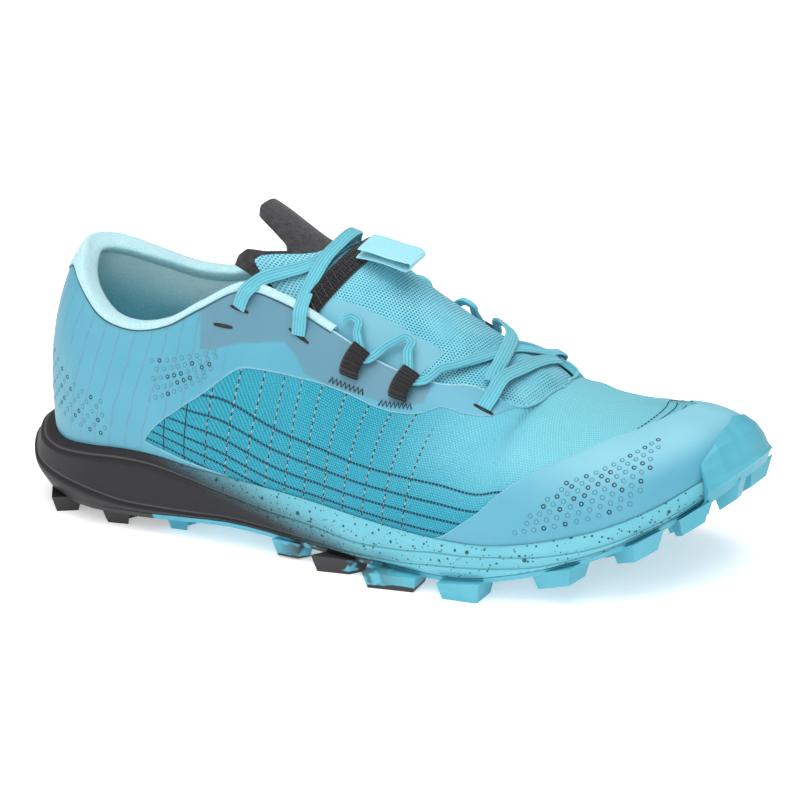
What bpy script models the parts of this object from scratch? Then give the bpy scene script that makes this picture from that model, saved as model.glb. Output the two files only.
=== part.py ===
"""A low trail running shoe for the right foot, made piece by piece as a shoemaker would.

Sizes are millimetres on the shoe's own last: x runs from the heel (0) to the toe, y to the inner side,
z up from the ground that the lugs stand on. Each mesh is turned into metres, centred over its footprint,
when it is made. The outer side of the foot is -y.
"""

import math
from collections import namedtuple

import bmesh
import bpy
import numpy as np

MM = 0.001
CENTRE_X = 139.35         # middle of the shoe's length
CENTRE_Y = -4.15          # middle of its width
GAP = 0.3                 # clearance between pieces that touch
FILM_GAP = 0.5            # the same under the films, whose edges cut across the upper's flat faces

WALL = 1.8                # woven upper
PADDING = 4.2             # extra foam round the collar
TUCK_IN = 3.0             # how far the upper sits down inside the midsole's rim
PLATE = 2.0               # outsole rubber between the lugs
LUG_DEPTH = 5.5
LUG_FLARE = 1.6           # how much wider a lug is all round at the plate
FILM = 0.6                # welded overlays
INSOLE = 3.2
COLUMNS_PER_SECTION = 2
SHELF = 1.3               # how far the midsole's rim stands out from the upper's foot line
LEDGE = 0.03              # half height of each ledge on the midsole's side, as a share of that side
LAST_INSET = 1.4          # room between the insole's edge and the lining
BINDING = 1.6             # brushed knit roll round the collar
LOOP_WIDTH = 7.6
TAPE = 1.2                # webbing of the loops
LACE_WIDTH = 6.6
LACE_THICKNESS = 1.2

# One row for each section of the last, from the toe's tip to the back of the heel.
# foot_*: where the upper meets the midsole's rim, outer and inner side of the foot
# top_*:  where that column of the upper ends: a point on the ridge or the collar, or, along the throat,
#         a place on the instep arch given as (x of the crest, degrees round the arch)
# swell, rise: how far the column first leans out and climbs; reach, drop: how it arrives at its top
# flare, tuck: how far the midsole stands out below, and how far its bottom edge turns under
# upper_step, lower_step: heights of the two ledges on the midsole's side, as shares of its height
Section = namedtuple("Section", "name foot_out foot_in top_out top_in swell rise reach drop "
                                "flare tuck upper_step lower_step")
SECTIONS = [
    Section("tip", (278, 8, 45.5), (278, 8, 45.5), (252, 8, 60.4), (252, 8, 60.4),
            0.4, 8, 17, 0, 1.6, 1.5, 0.24, 0.09),
    Section("toe 1", (276, -3, 44.6), (276.3, 18, 44.6), (250, 8, 60.1), (250, 8, 60.1),
            0.6, 8.5, 19, 0, 1.6, 1.5, 0.24, 0.09),
    Section("toe 2", (269.5, -17, 40.8), (271, 28.5, 40.8), (246.5, 8, 59.5), (246.5, 8, 59.5),
            1.2, 10, 23, 0, 1.8, 1.8, 0.24, 0.09),
    Section("toe 3", (257.5, -30.5, 33.6), (260, 36, 34), (241, 7.8, 58.4), (241, 7.8, 58.4),
            1.8, 13, 28, 0, 2.4, 2.0, 0.26, 0.09),
    Section("fore 1", (242.8, -41, 27.6), (244, 41.8, 28.5), (233.5, 7.4, 57.6), (233.5, 7.4, 57.6),
            2.3, 15, 34, 0, 3.0, 2.3, 0.32, 0.10),
    Section("fore 2", (225, -47.8, 23.1), (226, 45.3, 24.6), (222, 6.8, 57.9), (222, 6.8, 57.9),
            2.5, 18, 40, 0, 3.6, 2.5, 0.50, 0.16),
    Section("throat front", (209, -51.2, 20.5), (210, 46, 22.6), (209, 0), (209, 0),
            2.5, 20, 43, 0, 4.0, 2.5, 0.68, 0.30),
    Section("throat corner", (198, -52.3, 19.9), (198, 44.8, 22.2), (206, -31), (206, 26),
            2.5, 19, 18, 0, 4.0, 2.5, 0.70, 0.36),
    Section("front slot", (185, -51.6, 20), (184, 41.8, 22.4), (190, -38), (190, 38),
            2.5, 20, 16, 0, 3.8, 2.5, 0.66, 0.30),
    Section("eyelet 4", (172, -50, 20.5), (170, 38, 23.3), (180, -48), (178, 52),
            2.2, 21, 15, 0, 3.4, 2.4, 0.52, 0.18),
    Section("eyelet 3", (153, -47, 21.9), (150, 33, 25), (164, -56), (163, 60),
            2.0, 20, 15, 0, 2.8, 2.2, 0.40, 0.12),
    Section("eyelet 2", (133, -43.5, 23.8), (130, 30.3, 26.4), (145.5, -62), (144, 66),
            2.0, 20, 15, 0, 2.4, 2.0, 0.48, 0.10),
    Section("eyelet 1", (113, -40.5, 25.2), (111, 30.2, 27.4), (115.5, -27.5, 92), (114, 25.5, 91.5),
            1.8, 20, 6, 16, 2.4, 2.0, 0.52, 0.10),
    Section("peak", (95, -38.6, 26.6), (94, 31.8, 28.2), (98.5, -27.5, 95), (97, 24.5, 94.5),
            1.8, 20, 5, 18, 2.6, 2.0, 0.64, 0.10),
    Section("collar 3", (80, -37.8, 28), (79, 33.6, 29.4), (82.1, -29.5, 87), (81, 26, 88),
            2.0, 18, 3, 18, 3.0, 2.2, 0.78, 0.10),
    Section("collar 2", (65, -37, 30.2), (64, 34.8, 30.4), (68, -30.5, 79), (66, 26, 84.2),
            2.2, 16, 2, 16, 3.4, 2.5, 0.84, 0.12),
    Section("collar 1", (50, -36, 30.8), (49, 34, 30.8), (53, -30, 75.8), (52, 23.5, 85),
            2.2, 16, 2, 15, 3.8, 3.0, 0.85, 0.16),
    Section("heel 3", (35, -33.5, 29.6), (34, 31, 29.8), (39, -26.5, 78.4), (39.5, 18, 90),
            2.0, 16, 4, 15, 5.2, 3.8, 0.85, 0.30),
    Section("heel 2", (21, -27, 28.2), (20.5, 25, 28.6), (27.5, -19, 87.2), (29.5, 12, 95),
            1.6, 17, 8, 15, 6.8, 4.6, 0.85, 0.42),
    Section("heel 1", (10.5, -16.5, 29), (10, 14.5, 29.2), (22, -10.5, 95.3), (23, 6.5, 97.5),
            1.5, 18, 12, 15, 8.6, 5.2, 0.85, 0.48),
    Section("heel back", (4.8, -1, 31.5), (4.8, -1, 31.5), (19.5, -2.2, 98), (19.5, -2.2, 98),
            1.5, 18, 13, 15, 9.4, 5.5, 0.85, 0.50),
]
LAST = len(SECTIONS) - 1          # number of the heel back section
RING = 2 * LAST                   # sections all the way round
FRONT = 6                         # number of the section where the throat opens

# Crest of the instep arch, which the lace pocket lies on: x, height, half widths of its outer and inner
# side, and depth of the arch.
Arch = namedtuple("Arch", "x z outer_width inner_width depth")
INSTEP = [
    Arch(224, 53.4, 54, 38, 17), Arch(214, 57.0, 52, 37, 18), Arch(204, 63.4, 50, 36, 20),
    Arch(195, 68.6, 48, 34, 23), Arch(186, 72.8, 46, 32, 27), Arch(174, 79.6, 43, 29, 32),
    Arch(162, 86.6, 40, 27, 34), Arch(150, 94.8, 37, 25, 35), Arch(140, 101.6, 35, 24, 35),
    Arch(131, 107.4, 33.5, 23, 34), Arch(120, 114.0, 32.5, 22.5, 33),
]
# The tongue's own crest. It lies under the pocket, sags under the laces and rises to its tab.
TONGUE = [
    Arch(214, 53.6, 49, 33, 17), Arch(200, 61.2, 46, 32, 20), Arch(186, 68.6, 43, 29, 26),
    Arch(174, 75.4, 40, 26, 30), Arch(162, 82.4, 37, 24, 32), Arch(150, 90.4, 34, 23, 32),
    Arch(140, 96.6, 32, 22, 31), Arch(131, 100.6, 30, 21, 29), Arch(122, 102.6, 29, 21, 27),
    Arch(114, 105.2, 28.5, 20, 25), Arch(106, 110.2, 28.5, 19, 25), Arch(98, 115.6, 29, 18, 26),
    Arch(90, 120.0, 29, 18, 26),
]
ARCH_Y = 5.0                      # the arch's crest lies to the inner side of the last's middle
INNER_REACH = 0.72                # the vamp falls away sooner on its inner side

# Height of the outsole's underside along the shoe: heel bevel, arch and toe spring.
UNDERSIDE = [(-6, 15), (0, 9.5), (6, 6.6), (15, 5.2), (40, 5), (60, 5.6), (80, 6.8), (97, 7.4), (120, 6.2),
             (145, 5.1), (165, 5), (184, 5), (197, 5.6), (210, 7.8), (225, 11.2), (239, 15.6), (250, 20),
             (260, 25), (270, 31), (278, 37), (286, 44)]

# Edges of the films, as (column of the ring counted from the toe, height v on the upper).
TOE_FILM_START = [(0, 0.56), (1.2, 0.46), (2, 0.22), (2.5, 0.07), (3, 0.02)]
TOE_FILM_EDGE = [(0, 0.87), (1, 0.86), (2, 0.79), (3, 0.69), (4, 0.6), (5, 0.46), (6, 0.3), (7, 0.16), (8, 0.05)]
QUARTER_FILM_LOWER = [(7, 0.88), (7.5, 0.8), (8, 0.72), (8.5, 0.73), (9, 0.66), (9.5, 0.66), (10.5, 0.64),
                      (11.5, 0.6), (12.5, 0.59), (13, 0.56), (14, 0.42), (15, 0.2), (15.5, 0.02)]
QUARTER_FILM_UPPER = [(7, 0.95), (8, 0.975), (11, 0.975), (11.5, 0.95), (16.5, 0.95), (18, 0.93), (19, 0.89),
                      (19.5, 0.82), (20, 0.74)]
# Edges of the collar's binding: on the outer face, where it drops over the heel tab, and on the lining.
BINDING_OUTSIDE = [(11, 0.965), (16.5, 0.965), (18, 0.945), (19, 0.905), (19.5, 0.835), (20, 0.755)]
BINDING_INSIDE = [(11, 0.97), (13, 0.93), (15, 0.85)]
BUMPER_CROWN = [(0, 0.52), (1.2, 0.42), (2, 0.2)]
# The lace pocket's side edges, as (x of the crest, degrees round the arch).
POCKET_OUTER = [(137, 57), (145, 58.5), (152, 64), (164, 61), (180, 53), (190, 42), (206, 32), (210.5, 16)]
POCKET_INNER = [(137, 61), (145, 62.5), (152, 67), (163, 65), (178, 57), (190, 42), (206, 27), (210.5, 13)]
# The tongue's rear edge with its corners and tab, as (degrees, x of the crest), and how its width narrows.
TONGUE_TOP = [(-68, 101), (-60, 99.8), (-52, 100.5), (-45, 105), (-33, 109.8), (-27, 107.5), (-21, 95), (-13, 92.8),
              (0, 92.8), (12, 93.2), (18, 99), (26, 106), (34, 110), (46, 108), (60, 107)]
TONGUE_WIDTH = [(92, 1.0), (150, 0.9), (196, 0.5)]
# Where the lace loops stand, as columns of the ring.
LOOP_PLACES = {"outer_rear": 10.42, "outer_front": 9.5, "inner_front": RING - 9.5, "inner_rear": RING - 10.42}

# Colours as linear red, green, blue, then roughness.
FINISHES = {
    "aqua_rubber": ((0.09, 0.52, 0.68), 0.55), "foam": ((0.13, 0.55, 0.64), 0.8),
    "woven": ((0.06, 0.46, 0.64), 0.85), "film": ((0.13, 0.48, 0.65), 0.45),
    "binding": ((0.55, 0.80, 0.83), 0.95), "black_textile": ((0.035, 0.035, 0.04), 0.9),
    "bed_foam": ((0.15, 0.45, 0.55), 0.9), "open_mesh": ((0.10, 0.55, 0.70), 0.85),
    "webbing": ((0.12, 0.55, 0.68), 0.8), "lace": ((0.10, 0.52, 0.68), 0.85),
}


def smooth(rows, place):
    """Reads a smooth curve (Catmull-Rom) through evenly numbered rows at each place along them."""
    rows = np.asarray(rows, float)
    place = np.asarray(place, float)
    ends = np.vstack([2 * rows[:1] - rows[1:2], rows, 2 * rows[-1:] - rows[-2:-1]])
    first = np.clip(np.floor(place).astype(int), 0, len(rows) - 2)
    part = (place - first)[..., None]
    a, b, c, d = (ends[first + i] for i in range(4))
    return 0.5 * (2 * b + (c - a) * part + (2 * a - 5 * b + 4 * c - d) * part ** 2
                  + (3 * b - a - 3 * c + d) * part ** 3)


def read(table, place):
    """Reads a short table of (place, value) rows, straight between them."""
    places, values = np.array(table, float).T
    return np.interp(place, places, values)


def round_ring(rows, place):
    """The same curve, closed: place counts sections from the tip, outer side first, and wraps."""
    padded = np.vstack([rows[-3:], rows, rows[:4]])
    return smooth(padded, np.mod(place, RING) + 3)


def underside(x):
    """Height of the outsole's underside at x, eased between its rows."""
    xs, zs = np.array(UNDERSIDE, float).T
    place = np.interp(x, xs, np.arange(len(xs)))
    return smooth(zs[:, None], place)[..., 0]


def unit(vectors):
    """Each vector at length 1."""
    return vectors / np.maximum(np.linalg.norm(vectors, axis=-1, keepdims=True), 1e-9)


def arch(rows, crest_x, degrees, lift=0.0):
    """A point on an instep arch: an ellipse square to the crest, turned by degrees from the crest to the
    inner side (+) or the outer side (-), and raised by lift along its own normal."""
    table = np.array(rows, float)[::-1]
    crest_x, degrees, lift = np.broadcast_arrays(np.asarray(crest_x, float), degrees, lift)
    place = np.interp(crest_x, table[:, 0], np.arange(len(table)))
    x, z, outer_width, inner_width, depth = np.moveaxis(smooth(table, place), -1, 0)
    half_width = np.where(degrees > 0, inner_width, outer_width)
    step = 0.2
    ahead = smooth(table, np.clip(place + step, 0, len(table) - 1))
    behind = smooth(table, np.clip(place - step, 0, len(table) - 1))
    slope = np.arctan2(ahead[..., 1] - behind[..., 1], ahead[..., 0] - behind[..., 0])
    down = np.stack([np.sin(slope), np.zeros_like(slope), -np.cos(slope)], -1)
    turn = np.radians(degrees)
    across = np.array([0.0, 1.0, 0.0])
    spot = np.stack([x, np.full_like(x, ARCH_Y), z], -1)
    spot = spot + across * (half_width * np.sin(turn))[..., None] + down * (depth * (1 - np.cos(turn)))[..., None]
    normal = unit(across * (depth * np.sin(turn))[..., None] - down * (half_width * np.cos(turn))[..., None])
    return spot + normal * lift[..., None]


def arch_along(rows, crest_x, degrees):
    """Direction in which the arch falls away from its crest at a place, at length 1."""
    step = 0.5 if degrees >= 0 else -0.5
    return unit(arch(rows, crest_x, degrees + step) - arch(rows, crest_x, degrees))


def plan_normals(ring):
    """Horizontal normals, pointing out, of a closed ring of points that starts at the tip, outer side first."""
    along = np.roll(ring, -1, axis=0) - np.roll(ring, 1, axis=0)
    return unit(np.stack([-along[:, 1], along[:, 0], np.zeros(len(ring))], -1))


def control_rings():
    """The four control points of each section's column, as closed rings: foot, low, high and top."""
    outer = [(s, s.foot_out, s.top_out, -1) for s in SECTIONS]
    inner = [(s, s.foot_in, s.top_in, 1) for s in SECTIONS[-2:0:-1]]
    column = outer + inner
    foot = np.array([c[1] for c in column], float)
    normals = plan_normals(foot)
    low, high, top = [], [], []
    for (section, foot_point, place, side), normal in zip(column, normals):
        number = SECTIONS.index(section)
        reach = section.reach * (INNER_REACH if side > 0 and 1 < number <= FRONT + 1 else 1)
        low.append(np.array(foot_point, float) + normal * section.swell + np.array([0, 0, section.rise]))
        if len(place) == 2:
            degrees = place[1] if place[1] else side * 0.01
            end = arch(INSTEP, place[0], place[1], GAP + WALL)
            high.append(end + arch_along(INSTEP, place[0], degrees) * reach)
        else:
            end = np.array(place, float)
            towards = foot_point - end if number < FRONT else normal
            towards = unit(np.array([towards[0], towards[1], 0.0]))
            high.append(end + towards * reach - np.array([0, 0, section.drop]))
        top.append(end)
    return foot, np.array(low), np.array(high), np.array(top)


FOOT, LOW, HIGH, TOP = control_rings()


def section_values(name, place):
    """A named column of the section table, read round the ring."""
    half = [getattr(s, name) for s in SECTIONS]
    ring = np.array(half + half[-2:0:-1], float)[:, None]
    return round_ring(ring, place)[..., 0]


def upper_point(k, v):
    """The upper's outer face: column k round the ring, v from 0 at the midsole's rim to 1 at the top.
    Ahead of the throat both sides end on the same ridge."""
    k, v = np.broadcast_arrays(np.asarray(k, float), np.asarray(v, float))
    foot, low, high, top = (round_ring(ring, k) for ring in (FOOT, LOW, HIGH, TOP))
    folded = np.abs(np.mod(k + LAST, RING) - LAST)
    shared = (top + round_ring(TOP, -k)) / 2
    top = np.where((folded <= FRONT)[..., None], shared, top)
    v = v[..., None]
    return foot * (1 - v) ** 3 + 3 * low * v * (1 - v) ** 2 + 3 * high * v ** 2 * (1 - v) + top * v ** 3


def upper_normal(k, v):
    """Outward normals of that face, shared between the two sides along the ridge."""
    k, v = np.broadcast_arrays(np.asarray(k, float), np.asarray(v, float))
    step = 0.02
    high, low = np.minimum(v + step, 1), np.maximum(v - step, 0)

    def one_side(place):
        climb = upper_point(place, high) - upper_point(place, low)
        along = upper_point(place + step, v) - upper_point(place - step, v)
        return unit(np.cross(climb, along))

    normal = one_side(k)
    folded = np.abs(np.mod(k + LAST, RING) - LAST)
    on_ridge = ((folded <= FRONT) & (v > 0.999))[..., None]
    return np.where(on_ridge, unit(normal + one_side(-k)), normal)


def ease(value, start, end):
    """0 up to start, 1 from end on, and a smooth step between."""
    share = np.clip((value - start) / (end - start), 0, 1)
    return share * share * (3 - 2 * share)


def wall_thickness(k, v):
    """The woven wall, thickened by the foam round the collar."""
    folded = np.abs(np.mod(k + LAST, RING) - LAST)
    return WALL + PADDING * ease(folded, 12.5, 15) * ease(v, 0.25, 0.75)


def on_upper(k, v, lift=0.0):
    """A point lifted off the upper's outer face."""
    return upper_point(k, v) + upper_normal(k, v) * np.asarray(lift, float)[..., None]


ROWS = np.array([0, 0.12, 0.27, 0.45, 0.63, 0.82, 1.0])     # heights of the rows of the upper's faces


def on_faces(k, v, lift=0.0, inside=False):
    """A point lifted off the upper's flat faces rather than its curve: off the outer face, or off the lining."""
    k, v, lift = np.broadcast_arrays(np.asarray(k, float), v, lift)
    row = np.clip(np.searchsorted(ROWS, v, side="right") - 1, 0, len(ROWS) - 2)
    share = ((v - ROWS[row]) / (ROWS[row + 1] - ROWS[row]))[..., None]

    def at(height):
        return on_upper(k, height, -wall_thickness(k, height) - lift if inside else lift)

    return at(ROWS[row]) * (1 - share) + at(ROWS[row + 1]) * share


def ring_places():
    """Places of the columns round the ring, with the last joining the first."""
    return np.arange(RING * COLUMNS_PER_SECTION) / COLUMNS_PER_SECTION


def finish(bm, name, finish_name):
    """Turns a bmesh in last millimetres into a named object in metres, with its own material."""
    bmesh.ops.remove_doubles(bm, verts=bm.verts, dist=1e-4)
    loose = [v for v in bm.verts if not v.link_faces]
    bmesh.ops.delete(bm, geom=loose, context="VERTS")
    if bm.calc_volume(signed=True) < 0:
        bmesh.ops.reverse_faces(bm, faces=bm.faces)
    for vertex in bm.verts:
        vertex.co.x = (vertex.co.x - CENTRE_X) * MM
        vertex.co.y = (vertex.co.y - CENTRE_Y) * MM
        vertex.co.z = vertex.co.z * MM
    bmesh.ops.triangulate(bm, faces=bm.faces)
    mesh = bpy.data.meshes.new(name)
    bm.to_mesh(mesh)
    bm.free()
    piece = bpy.data.objects.new(name, mesh)
    bpy.context.scene.collection.objects.link(piece)
    colour, roughness = FINISHES[finish_name]
    material = bpy.data.materials.new(name + "_finish")
    material.use_nodes = True
    shader = material.node_tree.nodes["Principled BSDF"]
    shader.inputs["Base Color"].default_value = (*colour, 1)
    shader.inputs["Roughness"].default_value = roughness
    mesh.materials.append(material)
    return piece


def shell(name, outer, inner, finish_name, closed=False, open_top=None):
    """A wall between two grids of points (columns, rows, xyz). closed joins the last column to the first.
    open_top says, for each step between columns, whether the last row has a rim there."""
    columns, rows = outer.shape[:2]
    bm = bmesh.new()
    out = [[bm.verts.new(point) for point in column] for column in outer]
    ins = [[bm.verts.new(point) for point in column] for column in inner]
    steps = columns if closed else columns - 1
    for c in range(steps):
        n = (c + 1) % columns
        for r in range(rows - 1):           # always split along the same diagonal, so that layers stay parallel
            bm.faces.new((out[c][r], out[c][r + 1], out[n][r + 1]))
            bm.faces.new((out[c][r], out[n][r + 1], out[n][r]))
            bm.faces.new((ins[c][r], ins[n][r + 1], ins[c][r + 1]))
            bm.faces.new((ins[c][r], ins[n][r], ins[n][r + 1]))
        bm.faces.new((out[c][0], out[n][0], ins[n][0], ins[c][0]))
        if open_top is None or open_top[c]:
            bm.faces.new((out[n][-1], out[c][-1], ins[c][-1], ins[n][-1]))
    if not closed:
        for r in range(rows - 1):
            bm.faces.new((out[0][r + 1], out[0][r], ins[0][r], ins[0][r + 1]))
            bm.faces.new((out[-1][r], out[-1][r + 1], ins[-1][r + 1], ins[-1][r]))
    return finish(bm, name, finish_name)


def stacked(name, rings, finish_name):
    """A solid from closed rings of points, one above the other, lidded by bars from side to side."""
    bm = bmesh.new()
    rows = [[bm.verts.new(point) for point in ring] for ring in rings]
    count = len(rows[0])
    for lower, upper in zip(rows, rows[1:]):
        for i in range(count):
            n = (i + 1) % count
            bm.faces.new((lower[i], upper[i], upper[n], lower[n]))
    for row, turned in ((rows[0], False), (rows[-1], True)):
        for i in range(count // 2):
            far, near = row[(count - i) % count], row[count - i - 1]
            lid = [(row[i], row[i + 1], near), (row[i], near, far)]
            for corners in lid:
                if len(set(corners)) == 3:
                    bm.faces.new(corners[::-1] if turned else corners)
    return finish(bm, name, finish_name)


def sole_ring(out, height, places=None):
    """A ring of points that stands out from the foot line by out, at the heights that height(points) gives."""
    places = ring_places() if places is None else places
    foot = round_ring(FOOT, places)
    spots = foot + plan_normals(foot) * np.broadcast_to(out, places.shape)[:, None]
    spots[:, 2] = height(spots, foot)
    return spots


def make_upper():
    """The woven shell: a ring of columns, tucked into the midsole, hollow, open at throat and collar."""
    places = ring_places()
    k, v = np.meshgrid(places, ROWS, indexing="ij")
    outer = on_upper(k, v)
    inner = on_upper(k, v, -wall_thickness(k, v))
    sunk_out, sunk_in = outer[:, :1].copy(), inner[:, :1].copy()
    sunk_in[..., 2] = sunk_out[..., 2] = outer[:, :1, 2] - TUCK_IN
    outer, inner = np.concatenate([sunk_out, outer], 1), np.concatenate([sunk_in, inner], 1)
    middle = np.mod(places + 0.5 / COLUMNS_PER_SECTION + LAST, RING) - LAST
    shell("upper", outer, inner, "woven", closed=True, open_top=np.abs(middle) > FRONT)


def make_midsole():
    """Foam under the whole foot: a rim that the upper sits in, two ledges on its side, a turned-under edge."""
    places = ring_places()
    flare, tuck = section_values("flare", places), section_values("tuck", places)
    upper_step, lower_step = section_values("upper_step", places), section_values("lower_step", places)

    def at_bottom(spots, foot):
        return underside(spots[:, 0]) + PLATE + GAP

    def at_share(share):
        return lambda spots, foot: at_bottom(spots, foot) * (1 - share) + foot[:, 2] * share

    def below_rim(fall):
        return lambda spots, foot: foot[:, 2] - fall

    middle = 0.5 * flare + SHELF
    stacked("midsole", [
        sole_ring(flare - tuck, at_bottom),
        sole_ring(flare - 0.3 * tuck, at_share(0.5 * lower_step)),
        sole_ring(flare + 0.3, at_share(lower_step - LEDGE)),
        sole_ring(flare - 0.5, at_share(lower_step + LEDGE)),
        sole_ring(middle + 0.5, at_share(upper_step - LEDGE)),
        sole_ring(middle - 0.3, at_share(upper_step + LEDGE)),
        sole_ring(SHELF, below_rim(0)),
        sole_ring(GAP + 0.1, below_rim(0)),
        sole_ring(GAP + 0.1, below_rim(TUCK_IN + GAP)),
    ], "foam")


def make_insole():
    """The thin foam bed inside the upper, lying on the midsole. Every second column is enough for it."""
    edge = -(WALL + LAST_INSET)
    places = ring_places()[::COLUMNS_PER_SECTION]

    def above_seat(rise):
        return lambda spots, foot: foot[:, 2] - TUCK_IN + rise

    stacked("insole", [sole_ring(edge, above_seat(0.1), places), sole_ring(edge, above_seat(INSOLE - 0.8), places),
                       sole_ring(edge - 0.8, above_seat(INSOLE), places)], "bed_foam")


def prism(bm, base, tip):
    """Adds a closed convex block between two loops of the same number of points."""
    low = [bm.verts.new(point) for point in base]
    high = [bm.verts.new(point) for point in tip]
    faces = [bm.faces.new(low[::-1]), bm.faces.new(high)]
    for i in range(len(low)):
        n = (i + 1) % len(low)
        faces.append(bm.faces.new((low[i], low[n], high[n], high[i])))
    bmesh.ops.recalc_face_normals(bm, faces=faces)


# Lugs: x and y of the middle, length along the shoe, width across, turn in degrees, point (+1 to the toe,
# -1 to the heel, 0 square), and whether it stands on the ground. Sizes are those of the flat tip.
Lug = namedtuple("Lug", "x y length width turn point stands")
LUGS = [
    Lug(18, -24, 8, 10, 30, 0, True), Lug(17.5, 20, 8, 10, -30, 0, True), Lug(33, -2, 8, 13, 0, -1, True),
    Lug(44.5, -28.5, 8, 9, 8, -1, True), Lug(43, 27, 8, 9, -8, -1, True), Lug(56, -2, 8, 13, 0, -1, True),
    Lug(69, -26, 6.5, 8, 4, -1, True), Lug(67, 27, 6.5, 8, -4, -1, True),
    Lug(121, -38, 8, 8, 0, 1, False), Lug(142, -43.5, 12, 10, 6, 1, True), Lug(137, 26, 9, 8, -6, 1, False),
    Lug(152, -17, 9, 12, 8, 1, False), Lug(151, 10, 9, 12, -8, 1, False),
    Lug(168.5, -50, 17, 12, 6, 0, True), Lug(160, 33, 12, 10, -10, 1, True),
    Lug(171, -20, 9, 13, 8, 1, True), Lug(170, 9, 9, 13, -8, 1, True), Lug(181, 40, 12, 10, -8, 1, True),
    Lug(196, -50.5, 13, 12, 2, 0, True), Lug(188, -21, 9, 13, 8, 1, True), Lug(188, 9, 9, 13, -8, 1, True),
    Lug(204, 42, 12, 10, -3, 0, True), Lug(205, -21, 9, 13, 6, 1, False), Lug(205, 9, 9, 13, -8, 1, False),
    Lug(229, -43, 13, 10, -10, 0, False), Lug(222, -17, 9, 13, 4, 1, False), Lug(222, 10, 9, 13, -6, 1, False),
    Lug(229, 39, 12, 10, 10, 0, False), Lug(239, -12, 9, 13, 2, 1, False), Lug(239, 13, 9, 13, -6, 1, False),
    Lug(252.5, -31.5, 12, 9, -36, 0, False), Lug(252, 33, 11, 9, 32, 0, False),
    Lug(258, 2, 8, 17, 0, 1, False), Lug(266.5, -18, 9, 8, -52, 0, False), Lug(274.5, -1, 8, 6, -80, 0, False),
    Lug(274.5, 19, 8, 6, 70, 0, False),
]


def add_lug(bm, lug):
    """One tapered lug, from inside the rubber plate down to its own flat tip."""
    half_length, half_width = lug.length / 2, lug.width / 2
    nose = half_length * 0.75 * lug.point
    outline = [(-half_length, -half_width), (-half_length + nose, 0), (-half_length, half_width),
               (half_length, half_width), (half_length + nose, 0), (half_length, -half_width)]
    if lug.point == 0:
        outline = [(-half_length, -half_width), (-half_length, half_width),
                   (half_length, half_width), (half_length, -half_width)]
    turn = math.radians(lug.turn)

    def ring(grow, height):
        spots = []
        for x, y in outline:
            x, y = x + math.copysign(grow, x), y + math.copysign(grow, y) * (y != 0)
            place_x = lug.x + x * math.cos(turn) - y * math.sin(turn)
            place_y = lug.y + x * math.sin(turn) + y * math.cos(turn)
            spots.append((place_x, place_y, height(place_x)))
        return spots

    def reach_down(x):
        return 0.0 if lug.stands else max(float(underside(x)) - LUG_DEPTH, 0.6)

    prism(bm, ring(LUG_FLARE, lambda x: float(underside(x)) + 0.5 * PLATE), ring(0, reach_down))


def cutter(bm, name):
    """A hidden helper solid for a Boolean, in the same metres as the pieces."""
    piece = finish(bm, name, "aqua_rubber")
    piece.hide_render = True
    piece.display_type = "WIRE"
    return piece


def fuse(piece, helper):
    """Adds a Boolean union with a helper solid."""
    union = piece.modifiers.new("join " + helper.name, "BOOLEAN")
    union.operation = "UNION"
    union.solver = "EXACT"
    union.use_self = True
    union.object = helper


def make_outsole():
    """Rubber plate under the foam, deep lugs below it, and the bumper that wraps up over the toe."""
    places = ring_places()
    flare, tuck = section_values("flare", places), section_values("tuck", places)
    edge = flare - tuck

    def top(spots, foot):
        return underside(spots[:, 0]) + PLATE

    def bottom(spots, foot):
        return underside(spots[:, 0])

    plate = stacked("outsole", [sole_ring(edge - 0.6, bottom), sole_ring(edge + 0.4, top)], "aqua_rubber")
    bm = bmesh.new()
    for lug in LUGS:
        add_lug(bm, lug)
    fuse(plate, cutter(bm, "lug_shapes"))
    fuse(plate, toe_bumper())


def toe_bumper():
    """The faceted rubber wedge over the toe: from the plate's edge up the foam and on up the upper."""
    places = np.arange(-2.0, 2.1, 0.5)
    crown = read(BUMPER_CROWN, np.abs(places))[:, None]
    foot = round_ring(FOOT, places)
    along = round_ring(FOOT, places + 0.05) - round_ring(FOOT, places - 0.05)
    normal = unit(np.stack([-along[:, 1], along[:, 0], np.zeros(len(places))], -1))

    def off_foam(share, reach, fall=0.0):
        spot = foot + normal * reach
        bottom = underside(spot[:, 0]) + PLATE + GAP
        spot[:, 2] = bottom + share * (foot[:, 2] - bottom) - fall
        return spot

    inner = [off_foam(0, -0.7, GAP + 0.5 * PLATE)] + [off_foam(share, 2.95) for share in (0, 0.5, 1)]
    outer = [off_foam(0, 3.6, GAP + PLATE), off_foam(0, 4.7), off_foam(0.5, 5.6), off_foam(1, 4.4)]
    v = np.clip(ROWS[None, 1:5], 0, crown)
    k = places[:, None] + 0 * v
    slack = 1 - v / crown
    inner = np.concatenate([np.stack(inner, 1), on_faces(k, v, FILM_GAP + 0.9 * slack)], 1)
    outer = np.concatenate([np.stack(outer, 1), on_faces(k, v, FILM_GAP + 1.1 + 2.2 * slack)], 1)
    helper = shell("bumper_shape", outer, inner, "aqua_rubber")
    helper.hide_render = True
    helper.display_type = "WIRE"
    return helper


def patch(name, places, low, high, finish_name):
    """A film cut from the upper's own faces, between two heights v that change along its places."""
    k = np.repeat(places[:, None], len(ROWS), 1)
    v = np.clip(ROWS[None, :], low[:, None], high[:, None])
    shell(name, on_faces(k, v, FILM_GAP + FILM), on_faces(k, v, FILM_GAP), finish_name)


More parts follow.
